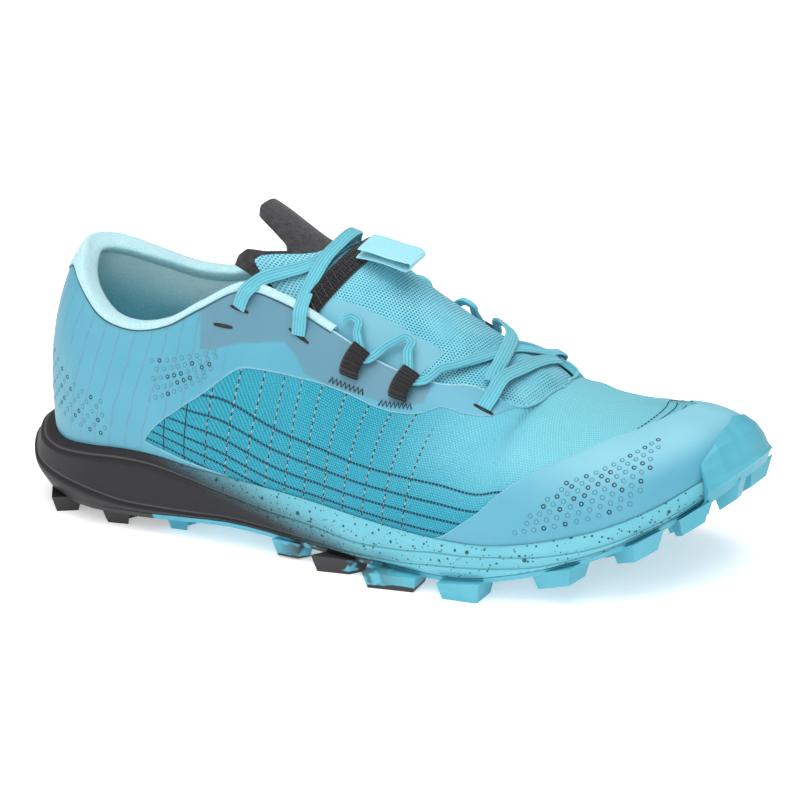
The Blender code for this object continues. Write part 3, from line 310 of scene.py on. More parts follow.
class Coat:
    """A finish whose nodes are wired by short calls. Each call takes sockets or plain numbers."""

    def __init__(self, name, **sockets):
        self.material = bpy.data.materials.new(name)
        self.material.use_nodes = True
        self.nodes = self.material.node_tree.nodes
        self.links = self.material.node_tree.links
        self.shader = self.nodes["Principled BSDF"]
        for socket, value in sockets.items():
            self.shader.inputs[socket.replace("_", " ")].default_value = value

    def put(self, value, socket):
        """Wires a socket, or sets its number or colour."""
        if isinstance(value, bpy.types.NodeSocket):
            self.links.new(value, socket)
        else:
            socket.default_value = (*value, 1) if isinstance(value, tuple) else value

    def math(self, operation, *values):
        """One arithmetic step."""
        node = self.nodes.new("ShaderNodeMath")
        node.operation = operation
        for value, socket in zip(values, node.inputs):
            self.put(value, socket)
        return node.outputs[0]

    def times(self, product, *factors):
        """The product of its values."""
        for factor in factors:
            product = self.math("MULTIPLY", product, factor)
        return product

    def plus(self, total, *terms):
        """The sum of its values."""
        for term in terms:
            total = self.math("ADD", total, term)
        return total

    def linear(self, value, slope, start):
        """The value times slope, plus start."""
        return self.math("MULTIPLY_ADD", value, slope, start)

    def mark(self, name):
        """A number kept for each point of the piece."""
        node = self.nodes.new("ShaderNodeAttribute")
        node.attribute_name = name
        return node.outputs["Fac"]

    def place(self):
        """Place on the object, in metres."""
        return self.nodes.new("ShaderNodeTexCoord").outputs["Object"]

    def part(self, number):
        """One coordinate of the place: 0 along the shoe, 1 across, 2 up."""
        node = self.nodes.new("ShaderNodeSeparateXYZ")
        self.put(self.place(), node.inputs[0])
        return node.outputs[number]

    def flat(self, x, y, z=0.0):
        """A vector from three numbers."""
        node = self.nodes.new("ShaderNodeCombineXYZ")
        for value, socket in zip((x, y, z), node.inputs):
            self.put(value, socket)
        return node.outputs[0]

    def cloud(self, vector, scale, detail=2.0, roughness=0.5):
        """Soft noise from 0 to 1."""
        node = self.nodes.new("ShaderNodeTexNoise")
        self.put(vector, node.inputs["Vector"])
        node.inputs["Scale"].default_value = scale
        node.inputs["Detail"].default_value = detail
        node.inputs["Roughness"].default_value = roughness
        return node.outputs[0]

    def cells(self, vector, scale):
        """Distance to the nearest of scattered points."""
        node = self.nodes.new("ShaderNodeTexVoronoi")
        self.put(vector, node.inputs["Vector"])
        node.inputs["Scale"].default_value = scale
        return node.outputs["Distance"]

    def between(self, value, start, end, soft):
        """1 from start to end and 0 elsewhere, softened by so much to each side of both."""
        return self.times(self.step(value, start - soft, start + soft),
                          self.step(value, end + soft, end - soft))

    def step(self, value, low, high):
        """0 below low, 1 above high, smooth between; the other way round if low is the larger."""
        node = self.nodes.new("ShaderNodeMapRange")
        node.interpolation_type = "SMOOTHSTEP"
        for entry, number in zip(node.inputs, (value, low, high, 0.0, 1.0)):
            self.put(number, entry)
        return node.outputs[0]

    def ribs(self, value, pitch, shift=0.0):
        """A sine wave from 0 to 1 that repeats every pitch."""
        wave = self.math("SINE", self.linear(value, 2 * np.pi / pitch, shift))
        return self.linear(wave, 0.5, 0.5)

    def line(self, value, pitch, width, shift=0.0):
        """1 on thin lines repeated every pitch, width wide: far up on the ribs' crests."""
        edge = 0.5 + 0.5 * np.cos(np.pi * width / pitch)
        return self.step(self.ribs(value, pitch, shift), edge - 0.25 * (1 - edge), edge + 0.25 * (1 - edge))

    def honeycomb(self, x, y, pitch):
        """Holes in a hexagonal net: the sum of three plane waves turned by sixty degrees, from 0 to 1."""
        rate = 2 * np.pi / (pitch * 0.866)
        waves = [self.math("COSINE", self.linear(x, rate * np.cos(turn), self.times(y, rate * np.sin(turn))))
                 for turn in np.radians([0, 60, 120])]
        return self.linear(self.plus(*waves), 0.2222, 0.3333)

    def mix(self, share, first, second):
        """The first colour where share is 0, the second where it is 1."""
        node = self.nodes.new("ShaderNodeMix")
        node.data_type = "RGBA"
        for name, value in (("Factor_Float", share), ("A_Color", first), ("B_Color", second)):
            self.put(value, next(s for s in node.inputs if s.identifier == name))
        return next(s for s in node.outputs if s.identifier == "Result_Color")

    def finish(self, colour, roughness=None, height=None, depth=0.0002):
        """Wires colour, roughness and a bump of the given depth in metres, and gives the material."""
        self.put(colour, self.shader.inputs["Base Color"])
        if roughness is not None:
            self.put(roughness, self.shader.inputs["Roughness"])
        if height is not None:
            bump = self.nodes.new("ShaderNodeBump")
            bump.inputs["Distance"].default_value = depth
            self.put(height, bump.inputs["Height"])
            self.links.new(bump.outputs[0], self.shader.inputs["Normal"])
        return self.material


YARN_PITCH, YARN_START = 8.62, 81.5         # spacing of the upright dark yarns, and where one of them stands
UPRIGHTS_FROM, UPRIGHTS_TO, UPRIGHT_WIDTH = 56.5, 192.5, 0.44
# Heights of the dark yarns along the side, where they run level. Those below 0 show only behind
# YARN_RISE_FROM, where all of them climb by YARN_RISE millimetres a millimetre.
LENGTH_YARNS = [0.315, 0.21, 0.12, 0.04, -0.03, -0.1, -0.16]
YARN_RISE_FROM, YARN_RISE = 130.0, 0.25


def yarn_marks(coat):
    """How dark the yarns make the weave: upright ones that lean forward, and dashed ones along it."""
    run, climb = coat.mark("run"), coat.mark("climb")
    shift = np.pi / 2 - 2 * np.pi * YARN_START / YARN_PITCH
    lean = coat.plus(coat.times(climb, coat.step(run, 75.0, 135.0), -0.2), run)
    upright = coat.line(lean, YARN_PITCH, UPRIGHT_WIDTH, shift)
    upright = coat.times(upright, coat.between(run, UPRIGHTS_FROM, UPRIGHTS_TO, 1.5))
    rows = 0.0
    behind = coat.math("SMOOTH_MAX", coat.math("SUBTRACT", YARN_RISE_FROM, run), 0.0, 22.0)
    level = coat.linear(behind, -YARN_RISE, climb)
    for height in LENGTH_YARNS:
        away = coat.math("ABSOLUTE", coat.math("SUBTRACT", level, height * HEIGHT))
        rows = coat.math("MAXIMUM", rows, coat.step(away, 0.56, 0.32))
    dashes = coat.step(coat.ribs(run, 1.35), -0.1, 0.3)
    return upright, coat.times(rows, dashes, coat.step(run, 235.0, 228.0))


def weave_coat():
    """Cyan twill: slanting ribs broken by a finer cross wave, deeper on the side than on the vamp, under
    the dashed yarns."""
    coat = Coat("woven cloth", Sheen_Weight=0.1, Sheen_Roughness=0.5, Specular_IOR_Level=0.2)
    run, climb = coat.mark("run"), coat.mark("climb")
    slant = coat.linear(climb, 0.75, run)
    cross = coat.linear(climb, -1.3, run)
    twill = coat.times(coat.ribs(slant, 1.7), coat.step(coat.ribs(cross, 1.0), 0.1, 0.7))
    knit = coat.times(coat.ribs(climb, 0.9), coat.ribs(coat.linear(climb, 0.5, run), 1.05))
    ahead = coat.step(run, 128.0, 150.0)
    pattern = coat.plus(coat.times(twill, coat.math("SUBTRACT", 1.0, ahead)), coat.times(knit, ahead))
    vamp = coat.times(coat.step(run, 165.0, 225.0), coat.step(climb, 6.0, 34.0))
    deep = coat.mix(vamp, (0.016, 0.24, 0.35), (0.15, 0.50, 0.60))
    light = coat.mix(vamp, (0.055, 0.50, 0.62), (0.26, 0.65, 0.75))
    patches = coat.cloud(coat.place(), 28.0)
    colour = coat.mix(coat.step(pattern, 0.05, 0.75), deep, light)
    colour = coat.mix(coat.times(coat.step(patches, 0.45, 0.7), 0.25), colour, (0.05, 0.36, 0.52))
    upright, rows = yarn_marks(coat)
    pale_beads = coat.times(coat.step(coat.ribs(climb, 2.5, 1.0), 0.42, 0.6), coat.step(run, 96.0, 102.0))
    bead = coat.mix(pale_beads, (0.012, 0.035, 0.045), (0.36, 0.42, 0.38))
    colour = coat.mix(upright, colour, bead)
    colour = coat.mix(coat.times(rows, 0.95), colour, (0.006, 0.04, 0.08))
    return coat.finish(colour, 0.82, coat.plus(pattern, upright, rows), 0.00022)


# Colour of the painted shade on fleece down inside the shoe.
SHADED_FLEECE = (0.14, 0.66, 0.78)


def fleece_coat(name, colour, pale):
    """Brushed fleece: fine noise lifted into a nap, pale where the nap catches light, darker by painted shade
    deeper down inside.
    """
    coat = Coat(name, Sheen_Weight=0.12, Sheen_Roughness=0.6, Specular_IOR_Level=0.1)
    nap = coat.step(coat.cloud(coat.place(), 1300.0, 5.0, 0.7), 0.3, 0.7)
    tufts = coat.cloud(coat.place(), 240.0, 3.0)
    share = coat.plus(coat.times(nap, 0.6), coat.times(tufts, 0.4))
    paler = coat.mix(share, colour, pale)
    # Painted shade: where the deep mark is 1 the fleece is mixed to a darker, more saturated colour, as down
    # inside the shoe where shade falls.
    shade = coat.mix(coat.step(coat.mark("deep"), 0.0, 1.0), paler, coat.mix(share, SHADED_FLEECE, colour))
    return coat.finish(shade, 0.97, share, 0.00022)


def make_upper():
    """The shell: outer face and lining on one grid of columns and heights, sunk into the midsole's rim."""
    places = np.arange(RING * UPPER_DETAIL) / UPPER_DETAIL
    heights = np.concatenate([[-0.04], np.linspace(0, 1, 57)])
    k, v = np.meshgrid(places, heights, indexing="ij")
    above = np.maximum(v, 0)
    outer, inner = on_upper(k, above), on_upper(k, above, -wall_thickness(k, above))
    for grid in (outer, inner):
        grid[:, 0, 2] = outer[:, 1, 2] - TUCK_IN
    open_top = folded(places + 0.5 / UPPER_DETAIL) > THROAT
    quads = len(places) * (len(heights) - 1)
    lining = fleece_coat("collar lining", (0.46, 0.86, 0.93), (0.74, 0.96, 0.98))
    # deep is painted shade on the lining: 1 low down inside the shoe, fading to 0 at the collar's top.
    marks = {"run": along(k), "climb": above * HEIGHT, "deep": ease(v, 0.98, 0.5)}
    return make_wall("woven_upper", outer, inner, [weave_coat(), lining], ("upper",), marks,
                     closed=True, open_top=open_top, lined=(quads, 2 * quads))


upper = make_upper()

# Welded films: smooth sky blue plastic pressed on the weave, one round the toe and one round the heel and up
# to the eyelets. Yarns show faintly through them, and a greyer patch backs the eyelets.
TOE_FILM_EDGE = [(0, 0.87), (1.2, 0.872), (2.8, 0.785), (3.4, 0.74), (4.1, 0.68), (4.75, 0.585), (5.4, 0.44),
                 (6.0, 0.32), (7.1, 0.15), (7.7, 0.035), (8, 0.0)]
TOE_FILM_START = [(0, 0.4), (1.2, 0.25), (1.7, 0.0), (3.0, 0.0)]
QUARTER_FILM_LOW = [(7, 1.0), (7.2, 0.96), (7.3, 0.86), (7.5, 0.8), (7.9, 0.755), (8.6, 0.79), (9.1, 0.71),
                    (9.6, 0.685), (10.3, 0.685), (11.3, 0.62), (12.8, 0.57), (13.4, 0.49), (14.2, 0.4),
                    (14.8, 0.29), (15.15, 0.18), (15.32, 0.09), (15.42, 0.0), (20, 0.0)]
COLLAR_LINE = [(16.5, 0.974), (18, 0.95), (19, 0.905), (19.5, 0.835), (20, 0.755)]
QUARTER_FILM_TOP = [(7, 1.0), (11, 1.0), (11.5, 0.972), *COLLAR_LINE]
RIM_STRIP_TOP = [(12.9, 0.004), (13.5, 0.02), (14.4, 0.045), (15.0, 0.075), (15.3, 0.1), (15.5, 0.1)]
GREY_PATCH = [(13.97, 1.08), (13.95, 0.86), (13.9, 0.715), (13.5, 0.68), (13.1, 0.68), (12.5, 0.705),
              (11.83, 0.765), (11.5, 0.72), (11.23, 0.655), (10.73, 0.66), (10.23, 0.71), (9.45, 0.745),
              (9.0, 0.8), (9.03, 0.94), (10.0, 1.08), (12.0, 1.08)]


def read(table, place, window=0.2):
    """A short table of (place, value) rows, straight between them and averaged over a small window."""
    places, values = np.array(table, float).T
    shifts = np.linspace(-window, window, 9)
    return np.mean([np.interp(place + shift, places, values) for shift in shifts], axis=0)


def outside_by(points, outline):
    """Signed distance of flat points from a closed outline: to its nearest side, less than 0 inside."""
    start = np.array(outline, float)
    end = np.roll(start, -1, axis=0)
    line = end - start
    offset = points[..., None, :] - start
    share = np.clip((offset * line).sum(-1) / (line * line).sum(-1), 0, 1)
    away = np.linalg.norm(offset - share[..., None] * line, axis=-1).min(-1)
    above = (start[:, 1] > points[..., None, 1]) != (end[:, 1] > points[..., None, 1])
    rise = np.where(line[:, 1] == 0, 1e-9, line[:, 1])
    crossing = start[:, 0] + (points[..., None, 1] - start[:, 1]) / rise * line[:, 0]
    inside = (above & (points[..., None, 0] < crossing)).sum(-1) % 2 == 1
    return np.where(inside, -away, away)


def side_plane(k, v):
    """Flat millimetres on the shoe's side: length from the heel's back, and height."""
    return np.stack(np.broadcast_arrays(along(k), np.asarray(v, float) * HEIGHT), -1)


def film_coat():
    """Sky blue film with a soft gloss: faint, wandering yarns show through, the patch behind the eyelets is
    greyer, the top of the toe lighter by a painted sheen and the cut edge whitish."""
    coat = Coat("welded film", Specular_IOR_Level=0.4, Coat_Weight=0.08, Coat_Roughness=0.4)
    run, climb = coat.mark("run"), coat.mark("climb")
    wander = coat.times(coat.cloud(coat.flat(run, climb), 0.12), 2.2)
    lean = coat.plus(coat.linear(climb, -0.13, run), wander)
    yarns = coat.times(coat.line(lean, YARN_PITCH * 0.82, 0.8), coat.step(run, 118.0, 96.0))
    broken = coat.step(coat.cloud(coat.flat(run, climb), 0.35, 3.0), 0.3, 0.5)
    patches = coat.cloud(coat.place(), 22.0, 3.0)
    colour = coat.mix(coat.step(patches, 0.35, 0.7), (0.088, 0.345, 0.465), (0.104, 0.375, 0.495))
    # Painted sheen: the top of the toe is mixed towards a paler, whiter blue, as where light reflects off it.
    painted_toe_sheen = coat.times(coat.step(run, 215.0, 262.0), coat.step(climb, 14.0, 38.0))
    colour = coat.mix(coat.times(painted_toe_sheen, 0.8), colour, (0.24, 0.56, 0.66))
    colour = coat.mix(coat.times(yarns, broken, 0.4), colour, (0.13, 0.22, 0.33))
    grey = coat.step(coat.mark("outside_patch"), 0.5, -0.5)
    colour = coat.mix(coat.times(grey, 0.85), colour, (0.112, 0.245, 0.325))
    cut_edge = coat.step(coat.mark("to_edge"), 0.75, 0.2)
    colour = coat.mix(coat.times(cut_edge, 0.3), colour, (0.4, 0.66, 0.74))
    grain = coat.cloud(coat.place(), 1400.0, 3.0)
    height = coat.linear(yarns, 0.5, coat.times(grain, 0.35))
    return coat.finish(colour, coat.linear(grain, 0.2, 0.36), height, 0.00008)


def make_film(name, places, low, high, stands_for=()):
    """A thin patch on the upper between two heights that change along its columns. It thins to its edges."""
    share = np.linspace(0, 1, 42)
    k = places[:, None] + 0 * share
    v = low[:, None] * (1 - share) + high[:, None] * share
    to_edge = np.minimum(v - low[:, None], high[:, None] - v) * HEIGHT
    body = 0.1 + 0.26 * ease(to_edge, 0, 0.6)
    outer, inner = on_upper(k, v, body + 0.12), on_upper(k, v, 0.06 + 0 * v)
    plane = side_plane(k, v)
    marks = {"run": plane[..., 0], "climb": plane[..., 1], "to_edge": to_edge,
             "outside_patch": outside_by(plane, side_plane(*np.array(GREY_PATCH).T))}
    make_wall(name, outer, inner, [film], stands_for, marks)


def film_places(start, end):
    """Places of a film's columns from start to end."""
    return np.arange(start * FILM_DETAIL, end * FILM_DETAIL + 1) / FILM_DETAIL


film = film_coat()
toe_places = film_places(-8, 8)
make_film("toe_film_sheet", toe_places, read(TOE_FILM_START, np.abs(toe_places)),
          read(TOE_FILM_EDGE, np.abs(toe_places)), ("toe_film",))
quarter_places = film_places(7.1, RING - 7.1)
make_film("quarter_film_sheet", quarter_places, read(QUARTER_FILM_LOW, folded(quarter_places), 0.12),
          read(QUARTER_FILM_TOP, folded(quarter_places)) - 0.003, ("quarter_film",))
strip_places = film_places(12.95, 15.45)
strip_top = read(RIM_STRIP_TOP, strip_places, 0.1)
make_film("rim_strip_outer", strip_places, 0 * strip_top, strip_top)
make_film("rim_strip_inner", RING - strip_places[::-1], 0 * strip_top, strip_top[::-1])

# Pressed dots: rings about a millimetre wide in slanting rows on both films. Some are filled with dark ink.
# Each field is four corners (column, height), dots along it and rows up it.
DOT_FIELDS = {"heel": ([(19.3, 0.25), (16.4, 0.10), (16.6, 0.36), (19.3, 0.47)], 9, 6),
              "quarter": ([(15.05, 0.45), (13.6, 0.555), (13.4, 0.665), (15.3, 0.73)], 9, 5),
              "toe": ([(5.6, 0.08), (3.35, 0.14), (2.75, 0.6), (4.7, 0.38)], 12, 7)}
DOT_PROFILE = [(0.95, 0.40), (0.80, 0.56), (0.50, 0.50), (0.28, 0.44)]      # radius and lift of a dot's rings
DOT_INK = [0.6, 0.6, 0.15, 0.0]             # shade of each ring of a bare dot; an inked one has 1 more
CORNERS, INKED_SHARE = 12, 0.3


def dot_rings(k, v):
    """The rings of twelve corners of each dot, on the upper: centre plus radius times cosine and sine along
    the surface's own run and climb, each ring lifted by its own height."""
    turn = np.linspace(0, 2 * np.pi, CORNERS, endpoint=False)[None, :, None]
    spot, normal = on_upper(k, v), upper_normal(k, v)
    climb = unit(on_upper(k, v + 0.01) - spot)
    run = unit(np.cross(climb, normal))
    ring = run[:, None] * np.cos(turn) + climb[:, None] * np.sin(turn)
    spot, normal = spot[:, None], normal[:, None]
    return np.stack([spot + ring * radius + normal * lift for radius, lift in DOT_PROFILE], 1)


def make_dots(name, corners, count, rows, outer, seed):
    """One field of pressed dots, every second row shifted by half a step, some of them inked."""
    chance = np.random.default_rng(seed)
    i, j = np.meshgrid(np.arange(count), np.arange(rows), indexing="ij")
    s = ((i + 0.5 * (j % 2)) / (count - 0.5)).ravel()[:, None]
    t = (j / (rows - 1)).ravel()[:, None]
    a, b, c, d = (np.array(corner) for corner in corners)
    k, v = (a * (1 - s) * (1 - t) + b * s * (1 - t) + c * s * t + d * (1 - s) * t).T
    rings = dot_rings(k if outer else RING - k, v)
    inked = chance.random(len(k)) < INKED_SHARE
    ink = np.repeat(inked, len(DOT_INK) * CORNERS) + np.tile(np.repeat(DOT_INK, CORNERS), len(k))
    quads = grid_faces(CORNERS, len(DOT_PROFILE), True)
    quads = (quads % len(DOT_PROFILE)) * CORNERS + quads // len(DOT_PROFILE)
    first = (np.arange(len(k)) * len(DOT_PROFILE) * CORNERS)[:, None]
    floors = np.arange(CORNERS) + first
    lids = floors + (len(DOT_PROFILE) - 1) * CORNERS
    quads = (quads[:, ::-1] + first[:, None]).reshape(-1, 4)
    faces = [*quads.tolist(), *floors[:, ::-1].tolist(), *lids.tolist()]
    coat = Coat("pressed dots " + name, Specular_IOR_Level=0.4)
    shade = coat.mix(coat.step(coat.mark("ink"), 0.0, 1.0), (0.115, 0.37, 0.49), (0.008, 0.04, 0.07))
    make_piece(name, rings, faces, [coat.finish(shade, 0.5)], marks={"ink": ink})


for number, (field, layout) in enumerate(DOT_FIELDS.items()):
    for side in ("outer", "inner"):
        make_dots(f"{field}_dots_{side}", *layout, side == "outer", 5 + number)

# Midsole: one moulding of soft foam. Aqua with dark speckles at the forefoot, sprayed charcoal at the heel,
# with two flowing ledges along its side and fine ribs. It is cemented to the upper all round.
SHELF, PLATE = 1.3, 2.0                     # how far the foam's rim stands out, thickness of the rubber
GROOVE = 0.03                               # half the height of each ledge's groove, of the side's height
UNDERSIDE = [(-6, 15), (0, 9.5), (6, 6.6), (15, 5.2), (40, 5), (60, 5.6), (80, 6.8), (97, 7.4), (120, 6.2),
             (145, 5.1), (165, 5), (184, 5), (197, 5.6), (210, 7.8), (225, 11.2), (239, 15.6), (250, 20),
             (260, 25), (270, 31), (278, 37), (286, 44)]
# For each section: how far the foam stands out, how far its bottom edge turns under, heights of its ledges.
FOAM = [(1.6, 1.5, 0.24, 0.09), (1.6, 1.5, 0.24, 0.09), (1.8, 1.8, 0.24, 0.09), (2.4, 2.0, 0.26, 0.09),
        (3.0, 2.3, 0.32, 0.10), (3.6, 2.5, 0.50, 0.16), (4.0, 2.5, 0.68, 0.30), (4.0, 2.5, 0.70, 0.36),
        (3.8, 2.5, 0.66, 0.30), (3.4, 2.4, 0.52, 0.18), (2.8, 2.2, 0.40, 0.12), (2.4, 2.0, 0.48, 0.10),
        (2.4, 2.0, 0.52, 0.10), (2.6, 2.0, 0.64, 0.10), (3.0, 2.2, 0.78, 0.10), (3.4, 2.5, 0.84, 0.12),
        (3.8, 3.0, 0.85, 0.16), (5.2, 3.8, 0.85, 0.30), (6.8, 4.6, 0.85, 0.42), (8.6, 5.2, 0.85, 0.48),
        (9.4, 5.5, 0.85, 0.50)]


def underside(x):
    """Height of the rubber's underside at x, a smooth curve through its rows."""
    xs, zs = np.array(UNDERSIDE, float).T
    return smooth(zs[:, None], np.interp(x, xs, np.arange(len(xs))))[..., 0]


def foam_values(place):
    """The foam table's four numbers round the ring."""
    half = np.array(FOAM, float)
    return np.moveaxis(round_ring(np.vstack([half, half[-2:0:-1]]), place), -1, 0)


def foam_side(places, shares):
    """Grid of points on the foam's side: from its bottom edge (share 0) to its rim (1), standing out by a
    profile with two ledges, each softened over a short rise."""
    flare, tuck, upper_step, lower_step = (c[:, None] for c in foam_values(places))
    middle = 0.5 * flare + SHELF
    share = shares[None, :]
    below = flare - tuck + (0.3 + tuck) * ease(share / lower_step, -0.35, 0.85)
    between = flare - 0.5 + (middle - flare + 1.0) * (share - lower_step) / (upper_step - lower_step)
    above = middle - 0.3 + (SHELF - middle + 0.3) * (share - upper_step) / (1 - upper_step)
    out = below + (between - below) * ease(share, lower_step - 0.02, lower_step + 0.05)
    out = out + (above - out) * ease(share, upper_step - 0.02, upper_step + 0.05)
    bulge = 0.5 * np.sin(np.pi * np.clip((share - upper_step) / (1 - upper_step), 0, 1))
    lower_groove = 0.7 * np.exp(-((share - lower_step) / GROOVE) ** 2)
    upper_groove = 0.8 * np.exp(-((share - upper_step) / GROOVE) ** 2)
    out = out + bulge - 0.5 * ease(share, 0.94, 1.0) - lower_groove - upper_groove
    foot = round_ring(FOOT, places)
    spots = foot[:, None] + plan_normals(foot)[:, None] * out[..., None]
    low = underside(spots[..., 0]) + PLATE + 0.3
    spots[..., 2] = low * (1 - share) + foot[:, None, 2] * share
    return spots


def foam_coat():
    """Matt foam: aqua, sprayed to charcoal towards the heel along a slanting, grainy front, with dark
    speckles and fine slanting ribs below the upper ledge."""
    coat = Coat("sprayed foam", Specular_IOR_Level=0.3)
    run, share, place = coat.mark("run"), coat.mark("share"), coat.place()
    front = coat.plus(coat.linear(share, -66.0, 166.5), coat.times(coat.cloud(place, 55.0, 4.0, 0.6), 14.0))
    grain = coat.linear(coat.cloud(place, 1900.0, 4.0, 0.8), 36.0, -18.0)
    dark = coat.step(coat.plus(coat.math("SUBTRACT", front, run), grain), -34.0, 34.0)
    colour = coat.mix(coat.step(coat.cloud(place, 30.0), 0.3, 0.7), (0.13, 0.44, 0.54), (0.16, 0.49, 0.585))
    speck = 0.0
    for scale, reach in ((300.0, 0.25), (560.0, 0.30), (640.0, 0.24)):
        size = coat.times(coat.step(coat.cloud(place, 0.8 * scale, 1.0), 0.4, 0.66), reach)
        speck = coat.math("MAXIMUM", speck, coat.math("LESS_THAN", coat.cells(place, scale), size))
    colour = coat.mix(coat.times(speck, 0.9), colour, (0.02, 0.045, 0.06))
    colour = coat.mix(dark, colour, (0.015, 0.0145, 0.017))
    shadow = coat.mix(dark, (0.04, 0.2, 0.26), (0.008, 0.008, 0.009))
    light = coat.mix(dark, (0.26, 0.62, 0.70), (0.11, 0.11, 0.115))
    for edge in ("from_upper", "from_lower"):
        groove = coat.step(coat.math("ABSOLUTE", coat.mark(edge)), 0.03, 0.008)
        lip = coat.step(coat.math("ABSOLUTE", coat.math("SUBTRACT", coat.mark(edge), 0.035)), 0.022, 0.006)
        colour = coat.mix(coat.times(groove, 0.6), colour, shadow)
        colour = coat.mix(coat.times(lip, 0.5), colour, light)
    slant = coat.linear(share, 16.0, run)
    fine = coat.times(coat.ribs(slant, 1.2), coat.times(coat.mark("ribbed"), 0.3))
    height = coat.plus(fine, coat.times(coat.cloud(place, 700.0, 2.0), 0.5))
    return coat.finish(colour, coat.linear(dark, -0.12, 0.66), height, 0.00012)


def closed_rings(name, rings, coats, stands_for, marks):
    """A solid from closed rings of points one above the other (ring, column), lidded by bars across."""
    rows, count = rings.shape[:2]
    faces = grid_faces(count, rows, True)
    i = np.arange(count // 2)
    near, far = count - i - 1, (count - i) % count
    lids = []
    for row, turned in ((0, False), (rows - 1, True)):
        bars = np.stack([i * rows + row, (i + 1) * rows + row, near * rows + row, far * rows + row], -1)
        lids += [list(dict.fromkeys(bar)) for bar in (bars[:, ::-1] if turned else bars).tolist()]
    faces = [*faces.tolist(), *(lid for lid in lids if len(lid) > 2)]
    return make_piece(name, np.swapaxes(rings, 0, 1), faces, coats, stands_for, marks)


def make_midsole():
    """The foam: its side, its rim, and the seat inside the rim that the upper stands on."""
    places = np.arange(RING * FILM_DETAIL) / FILM_DETAIL
    shares = np.linspace(0, 1, 54)
    side = foam_side(places, shares)
    foot = round_ring(FOOT, places)
    normal = plan_normals(foot)

    def seat(out, fall):
        spots = foot + normal * out
        spots[:, 2] = foot[:, 2] - fall
        return spots[:, None]

    rings = np.concatenate([side, seat(0.45, -0.05), seat(0.4, 0.5), seat(0.4, TUCK_IN + 0.3)], 1)
    all_shares = np.concatenate([shares, [1, 1, 1]])[None, :] + 0 * places[:, None]
    upper_step, lower_step = foam_values(places)[2:, :, None]
    ribbed = ease(all_shares, 0.1, 0.2) * (1 - ease(all_shares, upper_step - 0.05, upper_step + 0.02))
    marks = {"run": along(places)[:, None] + 0 * all_shares, "share": all_shares, "ribbed": ribbed,
             "from_upper": all_shares - upper_step, "from_lower": all_shares - lower_step}
    closed_rings("sprayed_midsole", np.swapaxes(rings, 0, 1), [foam_coat()], ("midsole",), marks)


make_midsole()

# Insole: a thin bed of foam faced with cloth, lying in the shoe. The CAD solid stays, with a cloth finish.


def refinish(node, coat):
    """Gives the CAD solid of a node another coat."""
    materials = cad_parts[node].data.materials
    materials.clear()
    materials.append(coat)


insole_coat = Coat("insole cloth", Sheen_Weight=0.3, Specular_IOR_Level=0.15)
insole_weave = insole_coat.times(insole_coat.ribs(insole_coat.part(0), 0.0014),
                                insole_coat.ribs(insole_coat.part(1), 0.0014))
insole_colour = insole_coat.mix(insole_weave, (0.06, 0.28, 0.38), (0.14, 0.46, 0.58))
refinish("insole", insole_coat.finish(insole_colour, 0.9, insole_weave, 0.0002))

# Outsole: moulded rubber cemented under the foam, with deep lugs and a faceted bumper over the toe. Mostly
# aqua, with black rubber at the heel and black run into the lugs below the arch.
rubber = Coat("two colour rubber", Specular_IOR_Level=0.45)
length_place, height_place = rubber.part(0), rubber.part(2)
marbling = rubber.cloud(rubber.place(), 75.0, 3.0, 0.6)
heel_black = rubber.step(length_place, -0.0755, -0.077)
arch_black = rubber.times(rubber.step(length_place, -0.026, -0.010), rubber.step(length_place, 0.040, 0.012),
                          rubber.step(height_place, 0.0105, 0.009), rubber.step(marbling, 0.44, 0.5))
tip_line = rubber.linear(marbling, 0.004, -0.0004)
tip_black = rubber.times(rubber.step(length_place, 0.046, 0.044), rubber.step(length_place, -0.03, -0.028),
                         rubber.math("LESS_THAN", height_place, tip_line))
black_share = rubber.math("MAXIMUM", heel_black, rubber.math("MAXIMUM", arch_black, tip_black))
clouds = rubber.step(rubber.cloud(rubber.place(), 40.0), 0.3, 0.7)
aqua_colour = rubber.mix(clouds, (0.07, 0.37, 0.48), (0.10, 0.425, 0.54))
rubber_colour = rubber.mix(black_share, aqua_colour, (0.022, 0.022, 0.024))
rubber_grain = rubber.cloud(rubber.place(), 2600.0, 3.0)
refinish("outsole", rubber.finish(rubber_colour, 0.5, rubber_grain, 0.00005))

# Collar binding: a pale mint roll of brushed knit, sewn round the collar's edge and broad over the heel tab.
BINDING_OUTSIDE = [(11, 0.972), *COLLAR_LINE]
BINDING_INSIDE = [(11, 0.975), (13, 0.965), (15, 0.95)]
binding_places = np.arange(11 * BINDING_DETAIL, (RING - 11) * BINDING_DETAIL + 1) / BINDING_DETAIL
binding_lap = read(BINDING_OUTSIDE, folded(binding_places))


